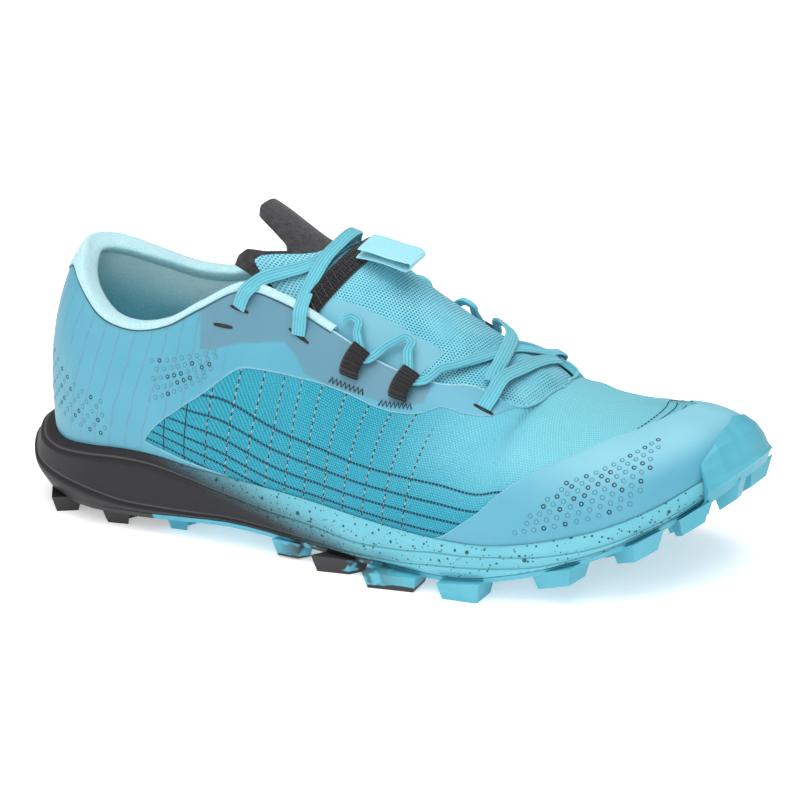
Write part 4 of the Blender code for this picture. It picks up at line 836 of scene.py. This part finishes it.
def make_binding(places, lap):
    """The roll: a closed cross-section that laps the outer face, goes over the edge and down the lining. Its
    outer path is a smooth curve about a millimetre off the inner one, roughened by a product of sines."""
    inside = read(BINDING_INSIDE, folded(places))
    between = np.maximum(0.82, lap + 0.02)
    climb = unit(upper_point(places, 1.0) - upper_point(places, 0.97))
    thick = wall_thickness(places, 1.0)[:, None]
    rim, normal = on_upper(places, np.ones_like(places)), upper_normal(places, 1.0)

    def path(lift, crown):
        shoulder = rim + normal * 0.6 * lift + climb * 0.8 * lift
        middle = rim - normal * 0.5 * thick + climb * (lift + crown)
        far_shoulder = rim - normal * (thick + 0.5 * lift) + climb * 0.8 * lift
        lining = on_upper(places, inside, -wall_thickness(places, inside) - 0.4 * lift)
        start = on_upper(places, lap, 0.5 * lift + 0 * lap)
        side = on_upper(places, between, 0.8 * lift + 0 * lap)
        return np.stack([start, side, shoulder, middle, far_shoulder, lining])

    steps = np.linspace(0, 5, 34)

    def soft(rows):
        return np.swapaxes(smooth(rows.reshape(6, -1), steps).reshape(34, -1, 3), 0, 1)

    fuzz = 0.06 * np.sin(places[:, None] * 41 + steps * 7) * np.sin(places[:, None] * 23 - steps * 11)
    outer, inner = soft(path(1.35, 0.45)), soft(path(0.3, 0.0))
    rounding = ease(steps, 0, 0.35) * ease(5 - steps, 0, 0.35)
    outer = inner + (outer - inner) * (0.35 + 0.65 * rounding + fuzz * rounding)[..., None]
    coat = fleece_coat("brushed mint knit", (0.36, 0.67, 0.73), (0.62, 0.84, 0.87))
    # deep is painted shade on the binding: 0 on its outer face, up to 0.5 where it turns over the edge and
    # down into the shoe.
    return make_wall("brushed_binding", outer, inner, [coat], ("collar_binding",),
                     {"deep": ease(steps, 2.8, 4.6) * 0.5 + 0 * places[:, None]})


make_binding(binding_places, binding_lap)

# Tongue: a dense charcoal knit sheet under the laces, with a corner each side and a raised tab behind them.
# A panel of open aqua lattice is sewn on its crest.
TONGUE = [(214, 53.6, 49, 33, 17), (200, 61.2, 46, 32, 20), (186, 68.6, 43, 29, 26), (174, 75.4, 40, 26, 30),
          (162, 82.4, 37, 24, 32), (150, 90.4, 34, 23, 32), (140, 96.6, 32, 22, 31), (131, 100.6, 30, 21, 29),
          (122, 102.6, 29, 21, 27), (114, 105.2, 28.5, 20, 25), (106, 110.2, 28.5, 19, 25),
          (98, 115.6, 29, 18, 26), (90, 120.0, 29, 18, 26)]
TONGUE_TOP = [(-68, 101), (-60, 99.8), (-52, 100.5), (-45, 105), (-33, 109.8), (-27, 107.5), (-21, 95),
              (-13, 92.8), (0, 92.8), (12, 93.2), (18, 99), (26, 106), (34, 110), (46, 108), (60, 107)]
TONGUE_WIDTH = [(92, 1.0), (150, 0.9), (196, 0.5)]
TONGUE_FRONT, LATTICE_FRONT = 196, 136      # where each begins under the pocket
LATTICE_TOP = [(-67, 116), (-62, 109), (-57, 104.5), (-50, 105.3), (-33, 112), (-20, 117), (0, 120.5),
               (34, 121)]
DEGREE = 0.6                                # millimetres round an arch for each degree, about


def arch_sheet(name, rows, crest, degrees, low, high, coat, slot, **marks):
    """A sheet on an instep arch, between two lifts off it. It hides the CAD node whose name slot holds."""
    outer, inner = arch(rows, crest, degrees, high), arch(rows, crest, degrees, low)
    marks = {"run": crest, "climb": degrees * DEGREE, **marks}
    return make_wall(name, outer, inner, [coat], (slot,), marks, turned=True)


def net(coat, pitch, shade, thread, hole):
    """Open net: threads stand round hexagonal holes that show the dark below. Gives its colour and height."""
    web = coat.honeycomb(coat.mark("run"), coat.mark("climb"), pitch)
    threads = coat.mix(coat.step(coat.cloud(coat.place(), 60.0), 0.3, 0.7), shade, thread)
    return coat.mix(coat.step(web, 0.42, 0.68), threads, hole), coat.step(web, 0.75, 0.2)


def tongue_grid(outer, inner, count, top, window, front, rows):
    """Crest places and degrees of a panel of the tongue, from its front edge to its shaped top."""
    degrees = np.linspace(outer, inner, count)
    crest = front + (read(top, degrees, window)[:, None] - front) * np.linspace(0, 1, rows)
    return crest, degrees[:, None] * read(TONGUE_WIDTH, crest, 2.0)


def make_tongue():
    """The knit sheet, 1.6 mm thick, with fine ribs and a worn, cloudy look."""
    knit = Coat("charcoal knit", Sheen_Weight=0.35, Sheen_Roughness=0.4, Specular_IOR_Level=0.2)
    ribbing = knit.times(knit.ribs(knit.mark("run"), 0.55), knit.ribs(knit.mark("climb"), 0.6))
    worn = knit.cloud(knit.place(), 420.0, 5.0, 0.7)
    colour = knit.mix(knit.step(worn, 0.3, 0.75), (0.028, 0.028, 0.031), (0.064, 0.063, 0.068))
    coat = knit.finish(colour, 0.85, knit.plus(ribbing, worn), 0.00014)
    grid = tongue_grid(-68, 60, 97, TONGUE_TOP, 0.8, TONGUE_FRONT, 70)
    return arch_sheet("knit_tongue", TONGUE, *grid, -1.6, 0.0, coat, "tongue")


def make_lattice():
    """The open panel just over the knit's crest."""
    coat = Coat("aqua lattice", Sheen_Weight=0.2, Specular_IOR_Level=0.3)
    colour, height = net(coat, 1.3, (0.18, 0.56, 0.69), (0.26, 0.66, 0.77), (0.06, 0.33, 0.45))
    coat = coat.finish(colour, 0.75, height, 0.0004)
    grid = tongue_grid(-67, 34, 75, LATTICE_TOP, 1.5, LATTICE_FRONT, 40)
    return arch_sheet("tongue_lattice", TONGUE, *grid, 0.3, 1.0, coat, "tongue_mesh")


tongue = make_tongue()
make_lattice()

# Lace pocket: an open aqua net over the instep, tucked under the eyestays, with a smooth film strip down its
# side. A black tape with zigzag stitches edges its rear.
POCKET_OUTER = [(137, 66), (145, 67), (152, 67), (164, 63), (180, 53), (190, 42), (206, 32), (210.5, 16)]
POCKET_INNER = [(137, 64), (145, 66), (152, 68), (163, 65), (178, 57), (190, 42), (206, 27), (210.5, 13)]
POCKET_FRONT, POCKET_REAR, POCKET_THICKNESS = 210.5, 136.8, 0.9
POCKET_FILM = [(136, -52), (139.4, -47.2), (151, -38.5), (160.2, -33.2), (169.8, -29.2), (174.8, -30),
               (174, -45), (172, -60), (136, -70)]


def pocket_degrees(sides, crest):
    """Degrees round the arch of the pocket: its share of the way to the side edge at each crest place."""
    outer, inner = read(POCKET_OUTER, crest, 0.5), read(POCKET_INNER, crest, 0.5)
    return sides * np.where(sides < 0, outer, inner)


def make_pocket():
    """The net: a sheet 0.9 mm thick on the instep arch, sunk at its sides and front end, with slow waves."""
    sides = np.linspace(-1, 1, 111)[:, None]
    crest = np.linspace(POCKET_FRONT, POCKET_REAR, 100)[None, :] + 0 * sides
    degrees = pocket_degrees(sides, crest)
    out = np.abs(sides)
    drop = POCKET_THICKNESS + np.maximum(0.8 * ease(out, 0.8, 1.0) + 0 * crest, 1.2 * ease(crest, 200, 209))
    waves = 0.35 * np.sin(crest / 5.2 + sides * 3) * np.cos(sides * 7 - crest / 17)
    waves = waves * (1 - ease(out, 0.6, 0.95))
    coat = Coat("pocket net", Sheen_Weight=0.2, Specular_IOR_Level=0.3)
    clouds = coat.step(coat.cloud(coat.place(), 45.0), 0.4, 0.62)
    hole = coat.mix(clouds, (0.02, 0.16, 0.24), (0.16, 0.46, 0.58))
    colour, height = net(coat, 1.08, (0.13, 0.55, 0.70), (0.22, 0.66, 0.79), hole)
    filmed = coat.step(coat.mark("outside_film"), 0.3, -0.3)
    colour = coat.mix(filmed, colour, (0.15, 0.43, 0.54))
    height = coat.plus(coat.times(height, coat.math("SUBTRACT", 1.0, filmed)), filmed)
    coat = coat.finish(colour, coat.linear(filmed, -0.3, 0.75), height, 0.0004)
    outline = np.array(POCKET_FILM) * (1, DEGREE)
    outside_film = outside_by(np.stack([crest, degrees * DEGREE], -1), outline)
    low = waves - drop
    return arch_sheet("net_pocket", INSTEP, crest, degrees, low, low + POCKET_THICKNESS, coat, "lace_pocket",
                      outside_film=outside_film)


make_pocket()


def band(name, spots, normals, width, thickness, coat, stands_for, ribs=0, cross_pitch=0.0):
    """A flat woven band along spots: a closed cross-section with rounded edges, carried along the path. Its
    top stands up in lengthwise ribs (a cosine across) or in cross ribs (a cosine along)."""
    spots, normals = np.array(spots, float), unit(np.array(normals, float))
    tangent = unit(np.gradient(spots, axis=0))
    across = unit(np.cross(tangent, normals))
    normals = unit(np.cross(across, tangent))
    run = np.concatenate([[0], np.cumsum(np.linalg.norm(np.diff(spots, axis=0), axis=1))])
    u = np.linspace(-1, 1, 25)
    edge = (1 - 0.85 * np.abs(u) ** 6)[None, :]
    half = np.broadcast_to(np.divide(width, 2), len(spots))[:, None]
    thickness = np.broadcast_to(thickness, len(spots))[:, None]
    wave = 0.10 * np.cos(u * np.pi * ribs)[None, :] if ribs else 0 * u[None, :]
    if cross_pitch:
        wave = wave + 0.16 * np.cos(2 * np.pi * run / cross_pitch)[:, None]
    middle = spots[:, None] + across[:, None] * (u * half)[..., None]
    outer = middle + normals[:, None] * (thickness * (0.5 + 0.5 * edge) + wave * edge)[..., None]
    inner = middle + normals[:, None] * (thickness * (0.5 - 0.5 * edge))[..., None]
    marks = {"run": run[:, None] + 0 * half * u, "climb": u * half}
    make_wall(name, outer, inner, [coat], stands_for, marks, sharp=1.2)


def tube(spots, normals, radius, sides=6):
    """Points and faces of a thread: a small ring carried along the spots, closed at both ends."""
    spots, normals = np.array(spots, float), unit(np.array(normals, float))
    tangent = unit(np.gradient(spots, axis=0))
    across = unit(np.cross(tangent, normals))
    turn = np.linspace(0, 2 * np.pi, sides, endpoint=False)
    ring = across[:, None] * np.cos(turn)[None, :, None] + normals[:, None] * np.sin(turn)[None, :, None]
    points = (spots[:, None] + ring * radius).reshape(-1, 3)
    near, r = np.meshgrid(np.arange(len(spots) - 1) * sides, np.arange(sides), indexing="ij")
    far, n = near + sides, (r + 1) % sides
    faces = np.stack([near + r, far + r, far + n, near + n], -1).reshape(-1, 4)
    last = (len(spots) - 1) * sides + np.arange(sides)
    return points, [*faces.tolist(), list(range(sides)), last[::-1].tolist()]


def make_threads(name, paths, radius, colour):
    """Several sewn threads as one piece. Each path is its spots and normals."""
    points, faces, first = [], [], 0
    for spots, normals in paths:
        some, theirs = tube(spots, normals, radius)
        points.append(some)
        faces += [[first + corner for corner in face] for face in theirs]
        first += len(some)
    coat = Coat(name.replace("_", " ") + " thread", Sheen_Weight=0.2, Specular_IOR_Level=0.2)
    shade = coat.mix(coat.cloud(coat.place(), 1500.0), tuple(0.6 * c for c in colour), colour)
    return make_piece(name, np.concatenate(points), faces, [coat.finish(shade, 0.75)])


def zigzag(start, end, count, spread, lift):
    """A zigzag path on the upper between two places (column, height): straight on, with a triangle wave of
    spread millimetres to each side."""
    steps = np.arange(2 * count + 1)
    share = steps / (2 * count)
    k, v = (start[i] + (end[i] - start[i]) * share for i in range(2))
    spots, normals = on_upper(k, v, lift + 0 * k), upper_normal(k, v)
    across = unit(np.cross(unit(np.gradient(spots, axis=0)), normals))
    return spots + across * (spread * (-1.0) ** steps)[:, None], normals


TAPE_REACH = 0.97                           # the tape's share of the pocket's width


def make_tape():
    """The tape over the pocket's rear edge, and the zigzag that sews it."""
    sides = np.linspace(-1, 1, 60)[:, None]
    crest = np.linspace(137.6, 131.2, 8)[None, :] + 0 * sides
    degrees = pocket_degrees(sides, POCKET_REAR + 0 * crest) * TAPE_REACH
    weave = Coat("black tape", Sheen_Weight=0.3, Specular_IOR_Level=0.2)
    pattern = weave.times(weave.ribs(weave.mark("climb"), 1.1), weave.ribs(weave.mark("run"), 1.4))
    colour = weave.mix(pattern, (0.010, 0.010, 0.012), (0.024, 0.025, 0.028))
    coat = weave.finish(colour, 0.9, pattern, 0.0003)
    arch_sheet("stitched_tape", INSTEP, crest, degrees, -0.9, 0.6, coat, "pocket_tape")
    turns = np.arange(47)
    degrees = pocket_degrees(np.linspace(-0.97, 0.97, 47), np.full(47, POCKET_REAR)) * TAPE_REACH
    crest = 134.4 + 2.3 * (-1.0) ** turns
    spots = arch(INSTEP, crest, degrees, 0.75)
    stitch = spots, spots - arch(INSTEP, crest, degrees, 0.0)
    make_threads("tape_stitches", [stitch], 0.3, (0.07, 0.07, 0.075))


make_tape()

# Pull tab: bright aqua webbing sewn to the tape's middle, run forward, folded and brought back over itself.
TAB_LEAN, TAB_MIDDLE = 0.19, -2.6
TAB_PATH = [((134.6, 106.1), (0.1, 1)), ((141, 105.6), (0.1, 1)), ((148, 104.4), (0.15, 1)),
            ((153.4, 103), (0.3, 1)), ((155.4, 104.2), (-1, 0.1)), ((153.4, 105.4), (-0.3, -1)),
            ((148, 106.2), (-0.15, -1)), ((141, 107.7), (-0.1, -1)), ((135.4, 108.5), (-0.1, -1))]


def webbing_coat(name, dark, light, pitch):
    """Close woven webbing: cross ribs over a fine lengthwise twill."""
    coat = Coat(name, Sheen_Weight=0.3, Specular_IOR_Level=0.25)
    cords = coat.times(coat.ribs(coat.mark("run"), pitch), coat.ribs(coat.mark("climb"), pitch * 0.8))
    return coat.finish(coat.mix(coat.step(cords, 0.1, 0.7), dark, light), 0.8, cords, 0.00015)


steps = np.linspace(0, len(TAB_PATH) - 1, 65)
tab_spots = smooth([(x, TAB_MIDDLE, z) for (x, z), _ in TAB_PATH], steps)
tab_normals = smooth([(x, -TAB_LEAN * z, z) for _, (x, z) in TAB_PATH], steps)
band("folded_pull_tab", tab_spots, -unit(tab_normals), 13.0, 0.8,
     webbing_coat("bright webbing", (0.28, 0.66, 0.76), (0.44, 0.84, 0.92), 0.8), ("pull_tab",))

# Lace loops: four loops of black ribbed webbing that stand on the eyestays, bridge the lace and end over the
# edge. A zigzag bar of thread under each holds it.
LOOP_PLACES = {"outer_rear": 10.42, "outer_front": 9.5, "inner_front": RING - 9.5, "inner_rear": RING - 10.42}
LOOP_ARCH = [(0.79, 1.3), (0.83, 3.0), (0.9, 3.7), (0.965, 3.6), (1.0, 3.4)]     # heights and lifts of a loop


def place_on(kind, first, second, lift):
    """A point and its normal: on the upper (column, height), or on an instep arch (crest x, degrees)."""
    if kind == "upper":
        return on_upper(np.array(first), np.array(second), np.array(lift)), upper_normal(first, second)
    rows = INSTEP if kind == "instep" else TONGUE
    spot = arch(rows, first, second, lift)
    return spot, spot - arch(rows, first, second, lift - 1.0)


def laid_path(path, detail):
    """A smooth curve over a path, with its normals averaged along it. A path is runs of places: each run's
    kind, then (first, second, lift) of each place."""
    places = [place_on(kind, *place) for kind, *run in path for place in run]
    spots, normals = (np.array(column, float) for column in zip(*places))
    last = len(places) - 1
    steps = np.linspace(0, last, last * detail + 1)
    shifts = np.linspace(-0.8, 0.8, 9)
    eased = [smooth(unit(normals), np.clip(steps + shift, 0, last)) for shift in shifts]
    return smooth(spots, steps), np.mean(eased, axis=0), steps


black_webbing = webbing_coat("black ribbed webbing", (0.006, 0.006, 0.007), (0.018, 0.019, 0.022), 0.8)
tacks = []
for loop, place in LOOP_PLACES.items():
    spots, normals, _ = laid_path([("upper", *((place, height, lift) for height, lift in LOOP_ARCH))], 24)
    band("ribbed_loop_" + loop, spots, normals, 7.6, 1.2, black_webbing, ("lace_loop_" + loop,),
         cross_pitch=1.25)
    forward = -0.3 if place < HEEL else 0.3
    low = 0.722 if "rear" in loop else 0.742
    tacks.append(zigzag((place - forward, low - 0.022), (place + forward, low + 0.018), 8, 1.0, 0.6))
make_threads("loop_tacks", tacks, 0.3, (0.02, 0.02, 0.024))

# Laces: flat aqua lace with lengthwise ribs. Two bars cross over the tongue; below them the lace runs through
# the loops on each side, crosses the pocket's front and ends in the front slots.
LACE_WIDTH, LACE_THICKNESS = 5.4, 1.1
lace_coat = Coat("flat lace", Sheen_Weight=0.25, Specular_IOR_Level=0.25)
lace_ribs = lace_coat.ribs(lace_coat.mark("climb"), 1.1)
lace_colour = lace_coat.mix(lace_coat.step(lace_ribs, 0.0, 0.6), (0.075, 0.38, 0.48), (0.15, 0.52, 0.63))
lace_finish = lace_coat.finish(lace_colour, 0.75, lace_ribs, 0.0002)
REAR_BAR = [("upper", (13.0, 0.875, 0.6), (12.88, 0.94, 2.4), (12.76, 0.99, 2.9)),
            ("tongue", (111.0, -61, 3.6), (113.6, -49.8, 2.4), (117.6, -37.5, 2.0), (121.0, -24.5, 1.9),
             (122.0, -10, 1.8), (121.6, 14, 2.0), (121.4, 34, 2.8), (121.2, 52, 4.4)),
            ("upper", (28.4, 0.99, 3.2), (28.5, 0.93, 2.4), (28.5, 0.86, 0.6))]
FRONT_BAR = [("upper", (11.54, 0.84, 0.6), (11.56, 0.93, 2.4), (11.6, 0.985, 2.7)),
             ("tongue", (123.4, -53.2, 4.4), (123.0, -40.5, 3.8), (122.4, -25.2, 3.6), (122.2, -7.8, 3.7),
              (122.2, 6, 5.2), (121.2, 20, 6.2), (118.8, 34, 6.2), (117.4, 50, 5.4)),
             ("upper", (27.88, 0.995, 3.2), (27.9, 0.94, 2.4), (27.9, 0.88, 0.6))]
# From under the binding's end through the outer side's two loops, and how wide the rolled lace is there.
THROUGH_LOOPS = [("instep", (146.0, -53.5, 2.4), (147.4, -50.5, 3.0), (150.0, -50.2, 3.4),
                  (152.0, -55.0, 3.0)),
                 ("upper", (10.46, 0.985, 2.0), (10.42, 0.93, 1.3), (10.25, 0.96, 1.8)),
                 ("instep", (160.6, -50.5, 3.0), (161.6, -44.8, 3.0), (163.0, -39.8, 3.2),
                  (165.8, -40.0, 3.4), (166.8, -45.0, 3.0)),
                 ("upper", (9.55, 0.985, 2.0), (9.5, 0.93, 1.3), (9.2, 0.96, 1.8))]
ROLLED = [2.8, 2.8, 3.0, 3.0, 3.4, 3.6, 3.4, 3.0, 3.0, 3.0, 3.2, 3.4, 3.6, 3.6, 3.2]
OUTER_RUN = THROUGH_LOOPS + [
    ("instep", (178.0, -42, 2.8), (180.2, -34.8, 2.0), (182.6, -25, 1.3), (185.0, -13, 0.7), (187.4, 3, 0.5),
     (191.5, 18, 0.6), (195.5, 30, 1.6)),
    ("upper", (32.45, 0.97, 1.6), (32.4, 0.86, 0.6))]
LOW_BAR = [("upper", (7.6, 0.85, 0.6), (7.6, 0.95, 2.0)),
           ("instep", (195.2, -27.5, 3.8), (196.0, -12, 1.6), (196.8, 4, 0.6), (197.8, 17, 0.6),
            (199.5, 26, 1.4))]


def on_inner_side(path):
    """The same path on the shoe's other side."""
    return [(kind, *((RING - first, second, lift) if kind == "upper" else (first, -second, lift)
                     for first, second, lift in run)) for kind, *run in path]


INNER_RUN = on_inner_side(THROUGH_LOOPS) + [
    ("instep", (174.5, 42, 3.3), (178.4, 28, 2.6), (184.2, 12, 2.2), (188.6, -10, 1.8), (191.2, -24, 1.4),
     (193.2, -31.5, 2.0))]
LACES = {"rear_bar": (REAR_BAR, LACE_WIDTH, "lace_top"), "front_bar": (FRONT_BAR, LACE_WIDTH, "lace_top"),
         "outer_run": (OUTER_RUN, ROLLED + [3.2, 3.8, 4.6, 5.2] + [LACE_WIDTH] * 5, "lace_lower"),
         "inner_run": (INNER_RUN, ROLLED + [3.6, 4.6] + [LACE_WIDTH] * 4, "lace_lower"),
         "low_bar": (LOW_BAR, LACE_WIDTH, "lace_lower")}
for bar, (lace_path, width, node) in LACES.items():
    spots, normals, steps = laid_path(lace_path, 10)
    count = sum(len(run) - 1 for run in lace_path)
    width = np.interp(steps, np.arange(count), np.broadcast_to(width, count))
    thickness = LACE_THICKNESS + 0.35 * (LACE_WIDTH - width)
    band("flat_lace_" + bar, spots, normals, width, thickness, lace_finish, (node,), ribs=6)

# Eyelet slots and edges: slots rimmed in black thread where the laces end, a pale cord along the eyestay's
# edge, and stitches along the binding.
SLOT_RIMS = [((13.22, 0.895), (12.78, 0.848)), ((11.78, 0.845), (11.3, 0.825)), ((13.6, 0.83), (13.12, 0.77)),
             ((7.8, 0.845), (7.4, 0.84)), ((27.68, 0.895), (28.12, 0.865)), ((28.28, 0.87), (28.72, 0.845)),
             ((26.6, 0.86), (27.05, 0.83)), ((32.2, 0.845), (32.6, 0.84))]


def oval(start, end, half, lift):
    """A closed oval on the upper round the line between two places: the line's half length along it, half
    across it, as cosine and sine."""
    (k0, v0), (k1, v1) = start, end
    ends = on_upper(np.array([k0, k1]), np.array([v0, v1]), np.full(2, lift))
    centre, along_line = ends.mean(0), (ends[1] - ends[0]) / 2
    normal = upper_normal(np.array((k0 + k1) / 2), np.array((v0 + v1) / 2))
    across = unit(np.cross(normal, along_line)) * half
    turn = np.linspace(0, 2 * np.pi, 25)
    spots = centre + along_line * np.cos(turn)[:, None] + across * np.sin(turn)[:, None]
    return spots, np.repeat(normal[None], 25, 0)


def thread_path(k, v, lift):
    """A thread's spots on the upper, and its normals."""
    v = v + 0 * k
    return on_upper(k, v, lift), upper_normal(k, v)


slot_rims = [oval(start, end, 0.4, 0.5) for start, end in SLOT_RIMS]
make_threads("slot_rims", slot_rims, 0.34, (0.03, 0.03, 0.035))
edge_k = np.linspace(7.45, 11.0, 160)
edges = [thread_path(k, 0.985, 0.5 + 0.1 * np.sin(k * 60)) for k in (edge_k, RING - edge_k)]
make_threads("eyestay_edge", edges, 0.3, (0.42, 0.72, 0.80))
stitch_k, stitch_v = binding_places[::2], binding_lap[::2] - 0.006
stitches = thread_path(stitch_k, stitch_v, 0.45 + 0.12 * np.sin(stitch_k * 40))
make_threads("binding_stitches", [stitches], 0.2, (0.03, 0.12, 0.16))

# Vamp yarns: three dashed dark yarns woven into the cloth before the toe, up to its ridge.
VAMP_YARNS = [((3.43, 0.74), (1.83, 0.995)), ((2.83, 0.775), (1.25, 0.965)), ((2.08, 0.805), (1.1, 0.89))]
vamp_dashes = []
for (k0, v0), (k1, v1) in VAMP_YARNS:
    shares = (np.arange(16)[:, None] + np.linspace(0, 0.55, 4)) / 16
    k, v = k0 + (k1 - k0) * shares, v0 + (v1 - v0) * shares
    for side_k in (k, RING - k):
        vamp_dashes += zip(*thread_path(side_k, v, 0.12 + 0 * k))
make_threads("vamp_yarns", vamp_dashes, 0.22, (0.012, 0.05, 0.07))

# Throat seam: a thick cord, slightly uneven, round the throat's front.
seam_k = np.linspace(7.35, 6.05, 60)
cord = 0.35 + 0.12 * np.sin(np.arange(60) * 1.6)
seams = [thread_path(seam_k, 0.988, cord), thread_path(RING - seam_k[::-1], 0.988, cord)]
make_threads("throat_seam", seams, 0.6, (0.20, 0.62, 0.75))

# Studio: a plain pale floor, soft light from above and both sides, and a camera where the photograph's was.
floor_mesh = bpy.data.meshes.new("floor")
floor_mesh.from_pydata([(-4, -4, 0), (4, -4, 0), (4, 4, 0), (-4, 4, 0)], [], [(0, 1, 2, 3)])
floor = bpy.data.objects.new("floor", floor_mesh)
bpy.context.scene.collection.objects.link(floor)
floor_coat = Coat("pale floor", Roughness=0.9, Specular_IOR_Level=0.1, Emission_Color=(1, 1, 1, 1),
                  Emission_Strength=0.42)
floor_mesh.materials.append(floor_coat.finish((0.93, 0.93, 0.93)))
studio = bpy.data.worlds.new("studio")
studio.use_nodes = True
studio.node_tree.nodes["Background"].inputs["Color"].default_value = (1.0, 1.0, 1.0, 1)
studio.node_tree.nodes["Background"].inputs["Strength"].default_value = 0.38
bpy.context.scene.world = studio
LIGHTS = [("overhead", (0.15, -0.35, 1.65), (0, 0, 0), 1.6, 26.0),
          ("window", (0.5, -1.6, 1.0), (0, 0, 0.05), 1.3, 10.0),
          ("fill", (-1.6, -0.8, 0.8), (0, 0, 0.05), 1.0, 3.0)]
for name, spot, aim, size, power in LIGHTS:
    lamp = bpy.data.lights.new(name, "AREA")
    lamp.size, lamp.energy = size, power
    stand = bpy.data.objects.new(name, lamp)
    stand.location = spot
    direction = np.subtract(aim, spot)
    stand.rotation_euler = (np.arctan2(np.hypot(direction[0], direction[1]), -direction[2]), 0,
                            np.arctan2(direction[1], direction[0]) - np.pi / 2)
    bpy.context.scene.collection.objects.link(stand)

AZIMUTH, ELEVATION, ROLL = np.radians([27.276, 18.016, 1.5])
DISTANCE, AIM = 1400.0, np.array([146.0, 0.0, 45.0])
FOCAL_PIXELS, CENTRE_PIXEL, FRAME_PIXELS, SENSOR = 3885.65, (400.316, 413.716), 800, 36.0
level = np.array([np.cos(AZIMUTH), np.sin(AZIMUTH), 0])
reach = np.cos(ELEVATION)
back = np.array([np.sin(AZIMUTH) * reach, -np.cos(AZIMUTH) * reach, np.sin(ELEVATION)])
upright = unit(np.cross(back, level))
right = level * np.cos(ROLL) - upright * np.sin(ROLL)
top = level * np.sin(ROLL) + upright * np.cos(ROLL)
camera_data = bpy.data.cameras.new("camera")
camera = bpy.data.objects.new("camera", camera_data)
bpy.context.scene.collection.objects.link(camera)
turned = np.eye(4)
turned[:3, 0], turned[:3, 1], turned[:3, 2] = right, top, back
turned[:3, 3] = (AIM + back * DISTANCE - MIDDLE) * MM
camera.matrix_world = [list(row) for row in turned.T]
camera_data.sensor_width = SENSOR
camera_data.lens = FOCAL_PIXELS * SENSOR / FRAME_PIXELS
camera_data.shift_x = (FRAME_PIXELS / 2 - CENTRE_PIXEL[0]) / FRAME_PIXELS
camera_data.shift_y = (CENTRE_PIXEL[1] - FRAME_PIXELS / 2) / FRAME_PIXELS
camera_data.clip_start, camera_data.clip_end = 0.01, 20.0
bpy.context.scene.camera = camera
bpy.context.scene.view_settings.view_transform = "Standard"
